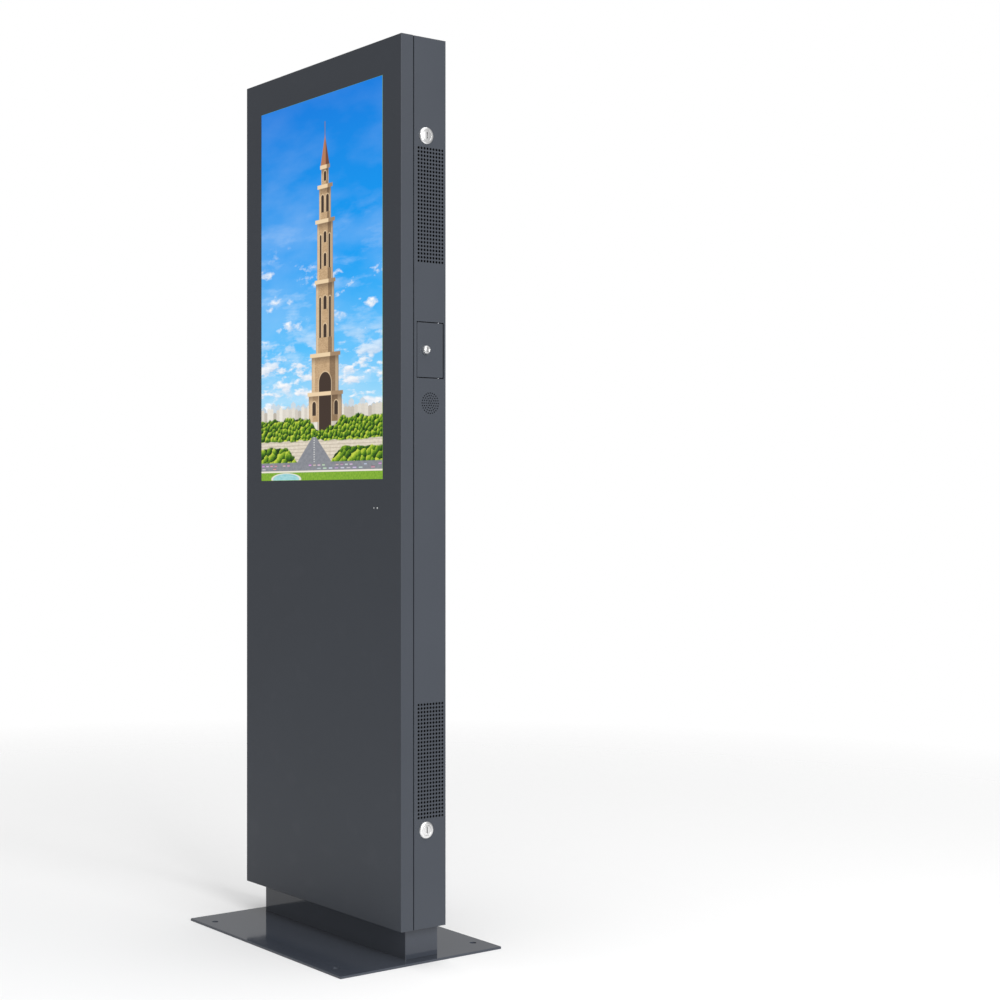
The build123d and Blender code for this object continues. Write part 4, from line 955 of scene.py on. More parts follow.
def perforation_tree() -> GeometryTree:
    """A tree that lays one tile, with a hole in it, over a grid."""
    inputs = [
        ("Columns", "NodeSocketInt", 9),
        ("Rows", "NodeSocketInt", 31),
        ("Pitch", "NodeSocketFloat", 6.5 * MM),
        ("Tile", "NodeSocketObject", None),
        ("Material", "NodeSocketMaterial", None),
    ]
    tree = GeometryTree("perforation", inputs)
    pitch = tree.given("Pitch")
    grid = {
        "Size X": (tree.given("Columns") - 1) * pitch,
        "Size Y": (tree.given("Rows") - 1) * pitch,
        "Vertices X": tree.given("Columns"),
        "Vertices Y": tree.given("Rows"),
    }
    points = tree.node("GeometryNodeMeshGrid", {}, grid)
    tile = tree.node("GeometryNodeObjectInfo", {}, {"Object": tree.given("Tile")}, "Geometry")
    laid = tree.node("GeometryNodeInstanceOnPoints", {}, {"Points": points, "Instance": tile})
    real = tree.node("GeometryNodeRealizeInstances", {}, {0: laid})
    merged = tree.node("GeometryNodeMergeByDistance", {}, {"Geometry": real, "Distance": 0.01 * MM})
    tree.result(merged)
    return tree


def grille_tree(rings: int) -> GeometryTree:
    """A tree that drills rings of small holes through a disc."""
    inputs = [
        ("Step", "NodeSocketFloat", 4.4 * MM),
        ("Hole", "NodeSocketFloat", 1.3 * MM),
        ("Depth", "NodeSocketFloat", 6.0 * MM),
        ("Material", "NodeSocketMaterial", None),
    ]
    tree = GeometryTree("grille", inputs)
    drill_inputs = {"Vertices": 16, "Radius": tree.given("Hole"), "Depth": tree.given("Depth")}
    drill = tree.node("GeometryNodeMeshCylinder", {}, drill_inputs)
    join = tree.tree.nodes.new("GeometryNodeJoinGeometry")
    tree.tree.links.new(drill.socket, join.inputs[0])
    for number in range(1, rings + 1):
        radius = tree.given("Step") * number
        points = tree.node("GeometryNodeMeshCircle", {}, {"Vertices": 6 * number, "Radius": radius})
        holes = tree.node("GeometryNodeInstanceOnPoints", {}, {"Points": points, "Instance": drill})
        tree.tree.links.new(holes.socket, join.inputs[0])
    drills = tree.node("GeometryNodeRealizeInstances", {}, {0: Signal(tree, join.outputs[0])})
    settings = {"operation": "DIFFERENCE", "solver": "EXACT"}
    tree.result(tree.node("GeometryNodeMeshBoolean", settings, {0: tree.given("Geometry"), 1: drills}))
    return tree


def scatter_tree() -> GeometryTree:
    """A tree that sets one head on each point, looking along the point's aim, with its own turn."""
    inputs = [
        ("Head", "NodeSocketObject", None),
        ("Seed", "NodeSocketInt", 3),
        ("Material", "NodeSocketMaterial", None),
    ]
    tree = GeometryTree("scatter", inputs)
    aim = tree.node("GeometryNodeInputNamedAttribute", {"data_type": "FLOAT_VECTOR"}, {"Name": "aim"})
    turn = tree.node("FunctionNodeAlignEulerToVector", {"axis": "Z"}, {"Vector": aim})
    head = tree.node("GeometryNodeObjectInfo", {}, {"Object": tree.given("Head")}, "Geometry")
    placing = {"Points": tree.given("Geometry"), "Instance": head, "Rotation": turn}
    placed = tree.node("GeometryNodeInstanceOnPoints", {}, placing)
    turns = {2: 0.0, 3: math.tau, "Seed": tree.given("Seed")}
    spin = tree.node("FunctionNodeRandomValue", {"data_type": "FLOAT"}, turns, 1)
    about = tree.node("ShaderNodeCombineXYZ", {}, {"Z": spin})
    turned = tree.node("GeometryNodeRotateInstances", {}, {"Instances": placed, "Rotation": about})
    tree.result(turned)
    return tree


@dataclass
class ScrewHeads:
    """Small pan heads with a cross recess, set over a list of places."""

    radius: float = 3.0 * MM
    height: float = 1.9 * MM
    recess: float = 0.55

    def head(self) -> bpy.types.Mesh:
        """One head, standing on the origin along +Z."""
        bm = bmesh.new()
        r, h = self.radius, self.height
        arm, wide = r * self.recess, r * 0.14
        cross = [(arm, -wide), (arm, wide), (wide, wide), (wide, arm), (-wide, arm), (-wide, wide)]
        cross += [(-arm, wide), (-arm, -wide), (-wide, -wide), (-wide, -arm), (wide, -arm), (wide, -wide)]
        dome = ((0.72, 1.0), (0.9, 0.82), (0.985, 0.5), (1.0, 0.0))
        rings = loft(bm, [(circle(r * wide_at, 24), h * high_at) for wide_at, high_at in dome])
        bm.faces.new(list(reversed(rings[-1])))
        mouth, floor = loft(bm, [(cross, h), ([(x * 0.6, y * 0.6) for x, y in cross], h * 0.35)])
        cap(bm, (rings[0], mouth))
        cap(bm, (floor,))
        return to_mesh(bm, "screw_head")

    def over(self, places: Sequence[tuple[Vector, Vector]], name: str, finish: Finish, body: Body) -> None:
        """Sets a head on each place.

        Args:
            places: point and outward direction of each head.
            name: the group's name.
            finish: the heads' finish.
            body: the body that they ride on.
        """
        base = bpy.data.meshes.new(name + "_points")
        base.from_pydata([tuple(point) for point, _ in places], [], [])
        aim = base.attributes.new("aim", "FLOAT_VECTOR", "POINT")
        for i, (_, direction) in enumerate(places):
            aim.data[i].vector = direction
        head = scene_object(name + "_head", self.head())
        values = {"Head": head, "Seed": len(places), "Material": finish.material}
        mesh = scatter_tree().run(base, name, values)
        bpy.data.objects.remove(head)
        install(name, smooth(mesh), body, (finish,))


# ---------------------------------------------------------------- sub-assemblies


@dataclass
class SidePanel:
    """One long side sheet: two vent fields, a speaker grille and, on the right, locks and hatch."""

    side: Side
    node: str
    columns: int = 9
    rows: int = 31
    pitch: float = 6.5 * MM
    hole: float = 2.3 * MM
    rim: float = 0.12 * MM
    vent_y: float = 15.0 * MM
    vent_inset: float = 192.0 * MM
    grille_y: float = 14.2 * MM
    grille_drop: float = 632.0 * MM
    grille_rings: int = 4
    grille_step: float = 4.4 * MM
    grille_hole: float = 1.3 * MM
    grille_patch: float = 21.0 * MM
    bend: float = 2.0 * MM
    edge: float = 0.3 * MM
    lock_hole: float = 11.1 * MM
    locks: tuple[Point, ...] = ()
    hatch: tuple[float, float, float, float] | None = None
    low: Vector = field(init=False)
    high: Vector = field(init=False)

    def __post_init__(self) -> None:
        """Takes the sheet's place from the frame."""
        self.low, self.high = span(self.node)

    @property
    def outer_x(self) -> float:
        """X of the sheet's outer face."""
        return self.high.x if self.side is Side.RIGHT else self.low.x

    @property
    def thickness(self) -> float:
        """The sheet's thickness."""
        return self.high.x - self.low.x

    def vent_middles(self) -> tuple[float, float]:
        """Heights of the middles of the lower and upper vent fields."""
        half = (self.rows - 1) * self.pitch / 2
        return self.low.z + self.vent_inset + half, self.high.z - self.vent_inset - half

    def grille_z(self) -> float:
        """Height of the speaker grille's centre."""
        return self.high.z - self.grille_drop

    def tile(self) -> bpy.types.Mesh:
        """One square of sheet with a rimmed hole, front face at Z 0."""
        bm = bmesh.new()
        count = 16
        half = self.pitch / 2
        unit = circle(1.0, count)
        square = [(half * x / max(abs(x), abs(y)), half * y / max(abs(x), abs(y))) for x, y in unit]
        levels = [
            (square, 0.0),
            (circle(self.hole + self.rim, count), 0.0),
            (circle(self.hole, count), -self.rim),
            (circle(self.hole, count), -self.thickness),
            (square, -self.thickness),
        ]
        loft(bm, levels)
        return to_mesh(bm, "vent_tile")

    def vent_field(self) -> bpy.types.Mesh:
        """One field of holes with closed sides, centred on the origin."""
        tile = scene_object("vent_tile", self.tile())
        empty = bpy.data.meshes.new("vent_base")
        values = {"Columns": self.columns, "Rows": self.rows, "Pitch": self.pitch, "Tile": tile}
        values["Material"] = Finish.CABINET.material
        mesh = perforation_tree().run(empty, "vent_field", values)
        bpy.data.objects.remove(tile)
        bm = bmesh.new()
        bm.from_mesh(mesh)
        middle = -self.thickness / 2

        def place(vert: bmesh.types.BMVert) -> Point:
            """A point's place in the sheet, whichever face it is on."""
            return round(vert.co.x, 6), round(vert.co.y, 6)

        back = {place(vert): vert for vert in bm.verts if vert.is_boundary and vert.co.z < middle}
        for edge in [edge for edge in bm.edges if edge.is_boundary and edge.verts[0].co.z > middle]:
            one, two = edge.verts
            bm.faces.new((one, two, back[place(two)], back[place(one)]))
        return to_mesh(bm, "vent_field")

    def grille(self) -> bpy.types.Mesh:
        """The disc of sheet with the speaker's holes, centred on the origin."""
        bm = bmesh.new()
        outline = circle(self.grille_patch, 64)
        for face in loft(bm, [(outline, 0.0), (outline, -self.thickness)]):
            cap(bm, (face,))
        disc = to_mesh(bm, "grille_disc")
        values = {"Step": self.grille_step, "Hole": self.grille_hole, "Material": Finish.CABINET.material}
        return grille_tree(self.grille_rings).run(disc, "speaker_grille", values)

    def sheet(self) -> bpy.types.Mesh:
        """The sheet round the fields, with a bent rear edge, in local (Y, Z, out)."""
        bm = bmesh.new()
        steps = 5
        y0, y1, z0, z1 = self.low.y, self.high.y, self.low.z, self.high.z
        levels = []
        for i in range(steps + 1):
            angle = math.radians(90 * i / steps)
            inset, deep = 1 - math.sin(angle), self.thickness * (1 - math.cos(angle))
            near, far = inset * self.edge, inset * self.bend
            levels.append((rectangle(y0 + near, y1 - far, z0 + near, z1 - near), -deep))
        rings = loft(bm, levels)
        front, back = [rings[0]], [rings[-1]]
        for window in self.windows():
            top, bottom = loft(bm, [(window, 0.0), (window, -self.thickness)])
            front.append(top)
            back.append(bottom)
        cap(bm, front)
        cap(bm, back)
        return to_mesh(bm, self.node + "_sheet")

    def windows(self) -> list[list[Point]]:
        """Outlines of the sheet's openings."""
        half_y, half_z = self.columns * self.pitch / 2, self.rows * self.pitch / 2
        found = []
        for middle in self.vent_middles():
            sides = (self.vent_y - half_y, self.vent_y + half_y)
            found.append(rectangle(*sides, middle - half_z, middle + half_z))
        found.append(circle(self.grille_patch, 64, (self.grille_y, self.grille_z())))
        found += [circle(self.lock_hole, 64, centre) for centre in self.locks]
        if self.hatch:
            found.append(rectangle(*self.hatch))
        return found

    def build(self) -> None:
        """Makes the sheet with its fields as one piece."""
        bm = bmesh.new()
        bm.from_mesh(self.sheet())
        vents = self.vent_field()
        for middle in self.vent_middles():
            copy = vents.copy()
            copy.transform(Matrix.Translation((self.vent_y, middle, 0.0)))
            bm.from_mesh(copy)
        grille = self.grille()
        grille.transform(Matrix.Translation((self.grille_y, self.grille_z(), 0.0)))
        bm.from_mesh(grille)
        y0, y1, z0, z1 = self.low.y, self.high.y, self.low.z, self.high.z
        # Faces behind the front face and inside the edges (hole and opening walls, and the back) take the
        # near-black painted shade finish.
        for face in bm.faces:
            y, z, out = face.calc_center_median()
            inside = min(y - y0, y1 - y, z - z0, z1 - z) > self.edge
            face.material_index = int(inside and out < -self.rim / 4)
        bmesh.ops.transform(bm, matrix=outward(self.side, self.outer_x, 0.0, 0.0), verts=bm.verts)
        if self.side is Side.LEFT:
            bmesh.ops.reverse_faces(bm, faces=bm.faces)
        mesh = smooth(to_plain(bm, self.node + "_mesh"), 30)
        install(self.node + "_sheet", mesh, Body.ROOT, (Finish.CABINET, Finish.HOLE_SHADE), (self.node,))


@dataclass
class CamLock:
    """A cam lock: domed head, threaded barrel, hexagonal nut, and a turning cylinder with a cam."""

    name: str
    centre: Vector
    barrel_body: Body
    cylinder_body: Body
    cylinder_node: str
    head: float = 15.0 * MM
    proud: float = 4.0 * MM
    barrel: float = 11.0 * MM
    plug: float = 9.0 * MM
    depth: float = 24.0 * MM
    sheet: float = 2.0 * MM
    nut: float = 14.0 * MM
    nut_t: float = 5.0 * MM
    slot: tuple[float, float, float] = (13.0 * MM, 2.0 * MM, 8.0 * MM)
    cam: tuple[float, float, float] = (12.0 * MM, 24.0 * MM, 2.5 * MM)
    cam_forward: bool = True
    pad: float = 0.0
    play: float = 0.05 * MM

    def shell(self) -> bpy.types.Mesh:
        """Head, barrel and nut, in place."""
        bm = bmesh.new()
        p, r = self.proud, self.head
        bore = self.plug + self.play
        lip = bore + (r - bore) * 0.16
        profile = [(p - 0.5 * MM, bore), (p - 0.15 * MM, bore + 0.1 * MM), (p - 0.04 * MM, bore + 0.25 * MM)]
        for i in range(17):
            angle = math.radians(90 * i / 16)
            profile.append((0.2 * MM + (p - 0.2 * MM) * math.cos(angle), lip + (r - lip) * math.sin(angle)))
        profile += [(0.0, r - 0.1 * MM), (0.0, self.barrel), (-self.sheet, self.barrel)]
        pitch, low = 1.0 * MM, self.barrel - 0.45 * MM
        turns = int((self.depth - self.sheet) / pitch) - 1
        for i in range(turns):
            start = -self.sheet - i * pitch
            profile += [(start - 0.5 * pitch, low), (start - pitch, self.barrel)]
        profile += [(-self.depth, low), (-self.depth, bore)]
        lathe(bm, profile, 72)
        top, bottom, bevel = -self.sheet, -self.sheet - self.nut_t, 0.12 * self.nut_t
        flat = self.nut * 0.88
        nut = [(top, self.barrel), (top, flat), (top - bevel, self.nut)]
        nut += [(bottom + bevel, self.nut), (bottom, flat), (bottom, self.barrel)]
        lathe(bm, nut, 72, hexagon)
        return to_mesh(bm, self.name, outward(Side.RIGHT, *self.centre))

    def cylinder(self) -> bpy.types.Mesh:
        """Plug with its key slot, and the cam on its back, in place."""
        bm = bmesh.new()
        face, r = self.proud - 0.4 * MM, self.plug
        tall, wide, deep = self.slot
        back, small, chamfer = -self.depth - 0.5 * MM, 0.15 * MM, 0.6 * MM
        edge = ((face, r - chamfer), (face - small, r - small), (face - chamfer, r), (back, r))
        rings = loft(bm, [(circle(radius, 64), height) for height, radius in edge])
        cap(bm, (rings[-1],))
        outside = set(bm.faces)
        outline = stadium(tall, wide)
        mouth = [(x * 1.25, y * 1.03) for x, y in outline]
        slot = loft(bm, [(mouth, face), (outline, face - 0.3 * MM), (outline, face - deep)])
        cap(bm, (slot[-1],))
        # The key slot's walls and floor take the dark painted shade finish.
        for wall in set(bm.faces) - outside:
            wall.material_index = 1
        cap(bm, (rings[0], slot[0]))
        self.add_cam(bm, back)
        return to_mesh(bm, self.name + "_cylinder", outward(Side.RIGHT, *self.centre))

    def add_cam(self, bm: bmesh.types.BMesh, back: float) -> None:
        """Adds the cam plate, and the step at its tip where it has one."""
        width, reach, thick = self.cam
        half, corner, count = width / 2, 2 * MM, 12
        points = [(x, -y) for x, y in circle(half, 2 * count)[:count + 1]]
        points += [(-half, reach - corner), (-half + corner, reach)]
        points += [(half - corner, reach), (half, reach - corner)]
        plates = [(points, back - thick, back)]
        if self.pad:
            foot, slant = reach - self.pad, half - 0.5 * MM
            tip = [(-half, foot), (half, foot), (slant, reach), (-slant, reach)]
            plates.append((tip, back, -self.sheet - 0.7 * MM))
        for outline, low, high in plates:
            placed = [(-y, x) if self.cam_forward else (x, y) for x, y in outline]
            for face in loft(bm, [(placed, low), (placed, high)]):
                cap(bm, (face,))

    def build(self, replaced: Sequence[str]) -> None:
        """Puts both parts of the lock on their bodies."""
        install(self.name, smooth(self.shell(), 32), self.barrel_body, (Finish.CHROME,), replaced)
        cylinder, finishes = smooth(self.cylinder(), 32), (Finish.CHROME, Finish.KEYWAY_SHADE)
        install(self.name + "_cylinder", cylinder, self.cylinder_body, finishes, (self.cylinder_node,))


@dataclass
class Screen:
    """The bonded touch glass with the lit picture under it."""

    chamfer: float = 0.35 * MM

    def build(self) -> None:
        """Makes the glass as a slab whose front face carries the picture."""
        low, high = span("touch_glass")
        bm = bmesh.new()
        layer = bm.loops.layers.uv.new("screen")
        levels = [(self.chamfer, low.y), (0.0, low.y + self.chamfer), (0.0, high.y)]
        rings = []
        for inset, y in levels:
            x0, x1, z0, z1 = low.x + inset, high.x - inset, low.z + inset, high.z - inset
            rings.append(ring(bm, [(x, y, z) for x, z in rectangle(x0, x1, z0, z1)]))
        for one, two in zip(rings, rings[1:]):
            bridge(bm, one, two)
        bm.faces.new(list(reversed(rings[-1])))
        face = bm.faces.new(rings[0])
        bmesh.ops.recalc_face_normals(bm, faces=bm.faces)
        for other in bm.faces:
            other.material_index = 0 if other is face else 1
        for loop in face.loops:
            place = loop.vert.co
            loop[layer].uv = ((place.x - low.x) / (high.x - low.x), (place.z - low.z) / (high.z - low.z))
        finishes = (Finish.PICTURE, Finish.GLASS_EDGE)
        install("touch_screen", to_plain(bm, "touch_screen"), Body.DOOR, finishes, ("touch_glass",))


@dataclass
class CutPlate:
    """An upright plate with pockets or holes in one face, along X and Z."""

    node: str
    body: Body
    finishes: tuple[Finish, ...]
    cuts: list[tuple[list[Point], float]]
    rear: bool
    edge: float = 0.3 * MM

    def build(self) -> None:
        """Makes the plate; a cut at least as deep as the plate goes right through it."""
        low, high = span(self.node)
        face, back = (high.y, low.y) if self.rear else (low.y, high.y)
        inward = -1 if self.rear else 1
        thick = high.y - low.y
        bm = bmesh.new()
        outline = rectangle(low.x, high.x, low.z, high.z)
        front = ring(bm, [(x, face, z) for x, z in outline])
        behind = ring(bm, [(x, back, z) for x, z in outline])
        bridge(bm, front, behind)
        faces, backs = [front], [behind]
        for points, depth in self.cuts:
            reach = min(depth, thick)
            mouth = ring(bm, [(x, face, z) for x, z in points])
            floor = ring(bm, [(x, face + inward * reach, z) for x, z in points])
            bridge(bm, mouth, floor)
            faces.append(mouth)
            if depth < thick:
                cap(bm, (floor,))
            else:
                backs.append(floor)
        cap(bm, faces)
        cap(bm, backs)
        plate = rounded(to_mesh(bm, self.node + "_plate"), self.node + "_plate", self.edge)
        install(self.node + "_plate", plate, self.body, self.finishes, (self.node,))


def rounded_box(x: float, z: float, wide: float, high: float, radius: float, count: int = 5) -> list[Point]:
    """Outline of a rectangle with round corners, by its middle and size."""
    points = []
    for quarter, (sx, sz) in enumerate(((1, 1), (-1, 1), (-1, -1), (1, -1))):
        cx, cz = x + sx * (wide / 2 - radius), z + sz * (high / 2 - radius)
        for i in range(count + 1):
            angle = math.pi / 2 * (quarter + i / count)
            points.append((cx + radius * math.cos(angle), cz + radius * math.sin(angle)))
    return points


@dataclass
class DisplayBack:
    """The display panel's pressed steel back: pressed fields, cooling slots and threaded bosses."""

    margin: float = 16.0 * MM
    press: float = 1.4 * MM
    corner: float = 8.0 * MM
    slot: Point = (2.4 * MM, 13.0 * MM)
    slots: int = 18
    boards: float = 68.0 * MM

    def cuts(self) -> list[tuple[list[Point], float]]:
        """Every pocket in the back."""
        low, high = span("display_panel")
        bracket_low, bracket_high = span("display_brackets")
        middle_x = (low.x + high.x) / 2
        wide = high.x - low.x - 2 * self.margin
        found = []
        top, bottom = (high.z + bracket_high.z) / 2, (low.z + bracket_low.z) / 2
        for z, tall in ((top, high.z - bracket_high.z), (bottom, bracket_low.z - low.z)):
            for side in (-1, 1):
                x = middle_x + side * (wide + self.margin) / 4
                outline = rounded_box(x, z, (wide - self.margin) / 2, tall - 2 * self.margin, self.corner)
                found.append((outline, self.press))
        board_low, board_high = span("driver_board")
        z = board_high.z + 34 * MM
        for i in range(self.slots):
            x = middle_x + (i - (self.slots - 1) / 2) * 2.6 * self.slot[0]
            outline = [(x + px, z + pz) for px, pz in stadium(self.slot[1], self.slot[0], 4)]
            found.append((outline, 3 * self.press))
        for side in (-1, 1):
            x = middle_x + side * (wide / 2 - self.boards / 2)
            z_mid = (board_low.z + board_high.z) / 2
            found.append((rounded_box(x, z_mid, self.boards, 150 * MM, self.corner), self.press))
            for drop in (18 * MM, 118 * MM):
                boss = circle(2.0 * MM, 16, (middle_x + side * 50 * MM, board_low.z - drop))
                found.append((boss, 4 * MM))
        return found

    def build(self) -> None:
        """Makes the display panel."""
        CutPlate("display_panel", Body.DOOR, (Finish.PANEL_BACK,), self.cuts(), True).build()


@dataclass
class Wiring:
    """Fixed looms on the equipment plate."""

    steps: int = 10
    sheath: float = 2.6 * MM
    core: float = 1.5 * MM

    def tube(self, bm: bmesh.types.BMesh, points: Sequence[Vector], radius: float, number: int) -> None:
        """Sweeps a round section along a smooth line through the points."""
        path = []
        padded = [points[0], *points, points[-1]]
        for a, b, c, d in zip(padded, padded[1:], padded[2:], padded[3:]):
            for i in range(self.steps):
                t = i / self.steps
                path.append(0.5 * (2 * b + (c - a) * t + (2 * a - 5 * b + 4 * c - d) * t * t
                                   + (3 * b - a - 3 * c + d) * t * t * t))
        path.append(points[-1])
        side = Vector((0, 1, 0))
        rings = []
        for i, at in enumerate(path):
            along = (path[min(i + 1, len(path) - 1)] - path[max(i - 1, 0)]).normalized()
            across = (side - along * side.dot(along)).normalized()
            over = along.cross(across)
            rings.append(ring(bm, [at + across * x + over * y for x, y in circle(radius, 12)]))
            side = across
        first = len(bm.faces)
        for low, high in zip(rings, rings[1:]):
            bridge(bm, low, high)
        cap(bm, (rings[0],))
        cap(bm, (rings[-1],))
        bm.faces.ensure_lookup_table()
        for face in bm.faces[first:]:
            face.material_index = number

    def routes(self) -> list[tuple[list[Vector], float, int]]:
        """Line, radius and finish number of each cable in the casing."""
        plate = span("equipment_plate")[0]
        gland_low, gland_high = span("cable_gland")
        gland = gland_low.lerp(gland_high, 0.5)
        gland.z = gland_high.z
        block_low, block_high = span("terminal_block")
        supply_low, supply_high = span("power_supply")
        player_low, _ = span("media_player")
        amp_low, amp_high = span("audio_amplifier")
        breaker_low, breaker_high = span("circuit_breaker")
        on_plate = plate.y - self.sheath
        found = [([gland - Vector((0, 0, 0.01)), gland + Vector((0, 0, 0.05)),
                   Vector((gland.x + 0.01, on_plate - 0.004, plate.z - 0.02)),
                   Vector((block_low.x + 0.02, on_plate, plate.z + 0.006)),
                   Vector((block_low.x + 0.02, on_plate, block_low.z - 0.012))], self.sheath * 1.5, 0)]
        for i, offset in enumerate((0.004, 0.0102, 0.0164)):
            x = block_low.x + offset + 0.006
            found.append(([Vector((block_low.x + 0.02, on_plate, block_low.z - 0.014)),
                           Vector((x, block_low.y + 0.01, block_low.z - 0.009)),
                           Vector((x, block_low.y + 0.008, block_low.z + 0.003))], self.core, i + 1))
            pole = breaker_low.x + 0.008 + offset * 1.2
            found.append(([Vector((x, block_low.y + 0.008, block_high.z - 0.003)),
                           Vector((x, block_low.y + 0.006, block_high.z + 0.018 + offset)),
                           Vector((pole, breaker_low.y + 0.02, breaker_high.z + 0.02 + offset)),
                           Vector((pole, breaker_low.y + 0.012, breaker_high.z - 0.004))],
                          self.core, i + 1))
        found.append(([Vector((supply_low.x + 0.03, supply_low.y + 0.03, supply_low.z + 0.012)),
                       Vector((supply_low.x + 0.03, on_plate, supply_low.z - 0.02)),
                       Vector((breaker_high.x + 0.018, on_plate, breaker_high.z + 0.03)),
                       Vector((block_high.x - 0.008, block_low.y + 0.012, block_high.z + 0.012)),
                       Vector((block_high.x - 0.008, block_low.y + 0.008, block_high.z - 0.003))],
                      self.core * 1.3, 0))
        gap_x = (supply_high.x + player_low.x) / 2
        found.append(([Vector((supply_high.x - 0.02, supply_low.y + 0.03, supply_low.z + 0.012)),
                       Vector((supply_high.x + 0.004, on_plate, supply_low.z - 0.014)),
                       Vector((gap_x, on_plate, supply_low.z + 0.03)),
                       Vector((gap_x, on_plate, player_low.z + 0.02)),
                       Vector((player_low.x + 0.004, on_plate, player_low.z + 0.05))], self.core * 1.3, 0))
        for i, x in enumerate((0.03, 0.042, 0.054)):
            found.append(([Vector((player_low.x + x, on_plate - 0.006, player_low.z + 0.004)),
                           Vector((player_low.x + x, on_plate - 0.004, (player_low.z + amp_high.z) / 2)),
                           Vector((amp_low.x + x - 0.008 * (i - 1), on_plate - 0.006, amp_high.z - 0.004))],
                          self.core, 0))
        return found

    def build(self) -> None:
        """Puts the looms in the casing."""
        bm = bmesh.new()
        for points, radius, number in self.routes():
            self.tube(bm, points, radius, number)
        mesh = smooth(to_mesh(bm, "casing_wiring"), 50)
        install("casing_wiring", mesh, Body.ROOT, (Finish.SHEATH, Finish.LIVE, Finish.NEUTRAL, Finish.EARTH))


@dataclass
class SheetMetal:
    """The folded sheets and plates, as merged copies with rounded edges."""

    edges: dict[str, tuple[float, Body, Finish]] = field(default_factory=lambda: {
        "base_plate": (0.35 * MM, Body.ROOT, Finish.STAND),
        "plinth_shell": (0.4 * MM, Body.ROOT, Finish.STAND),
        "plinth_top_plate": (0.3 * MM, Body.ROOT, Finish.STAND),
        "plinth_rear_cover": (0.3 * MM, Body.ROOT, Finish.STAND),
        "rear_panel": (0.25 * MM, Body.ROOT, Finish.CABINET),
        "top_panel": (0.3 * MM, Body.ROOT, Finish.CABINET),
        "bottom_panel": (0.3 * MM, Body.ROOT, Finish.CABINET),
        "jamb_right": (0.3 * MM, Body.ROOT, Finish.CABINET),
        "door_skin": (0.3 * MM, Body.DOOR, Finish.DOOR),
        "hatch_door": (0.35 * MM, Body.HATCH, Finish.CABINET),
        "service_bay_box": (0.3 * MM, Body.ROOT, Finish.ZINC),
        "door_strikes": (0.4 * MM, Body.DOOR, Finish.ZINC),
        "display_brackets": (0.3 * MM, Body.DOOR, Finish.ZINC),
        "door_rails": (0.4 * MM, Body.DOOR, Finish.ZINC),
        "power_supply": (0.4 * MM, Body.ROOT, Finish.ZINC),
        "media_player": (0.4 * MM, Body.ROOT, Finish.ANODISED),
        "audio_amplifier": (0.5 * MM, Body.ROOT, Finish.ANODISED),
        "door_seal": (0.8 * MM, Body.ROOT, Finish.SEAL),
    })

    def build(self) -> None:
        """Makes each sheet and puts it on its body."""
        for node, (radius, body, finish) in self.edges.items():
            install(node + "_sheet", softened(node, radius), body, (finish,), (node,))


@dataclass
class Fastenings:
    """Visible screw heads that the frame doesn't hold one by one."""

    hinge_step: float = 62.0 * MM
    clear: float = 0.02 * MM

    def hinge_screws(self) -> list[tuple[Vector, Vector]]:
        """Heads down the door's hinge leaf."""
        low, high = span("hinge_leaf_door")
        count = int((high.z - low.z - 0.04) / self.hinge_step) + 1
        x, y = low.x + 2.2 * MM + self.clear, low.y + 7.0 * MM
        start = (low.z + high.z) / 2 - (count - 1) * self.hinge_step / 2
        return [(Vector((x, y, start + i * self.hinge_step)), Vector((1, 0, 0))) for i in range(count)]

    def corner_screws(self, node: str, inset: float, face: str) -> list[tuple[Vector, Vector]]:
        """Heads in the four corners of a plate that faces -Y or +X."""
        low, high = span(node)
        places = []
        for z in (low.z + inset, high.z - inset):
            if face == "-y":
                ends, out = (low.x + inset, high.x - inset), Vector((0, -1, 0))
                places += [(Vector((x, low.y, z)), out) for x in ends]
            else:
                ends, out = (low.y + inset, high.y - inset), Vector((1, 0, 0))
                places += [(Vector((high.x, y, z)), out) for y in ends]
        return places

    def build(self) -> None:
        """Sets every group of heads."""
        ScrewHeads(2.6 * MM, 1.4 * MM).over(self.hinge_screws(), "hinge_screws", Finish.ZINC, Body.DOOR)
        plate = self.corner_screws("equipment_plate", 15 * MM, "-y")
        ScrewHeads(3.6 * MM, 2.2 * MM).over(plate, "plate_screws", Finish.ZINC, Body.ROOT)
        ports = self.corner_screws("port_plate", 5 * MM, "+x")
        ScrewHeads(2.2 * MM, 1.3 * MM).over(ports, "port_plate_screws", Finish.ZINC, Body.ROOT)


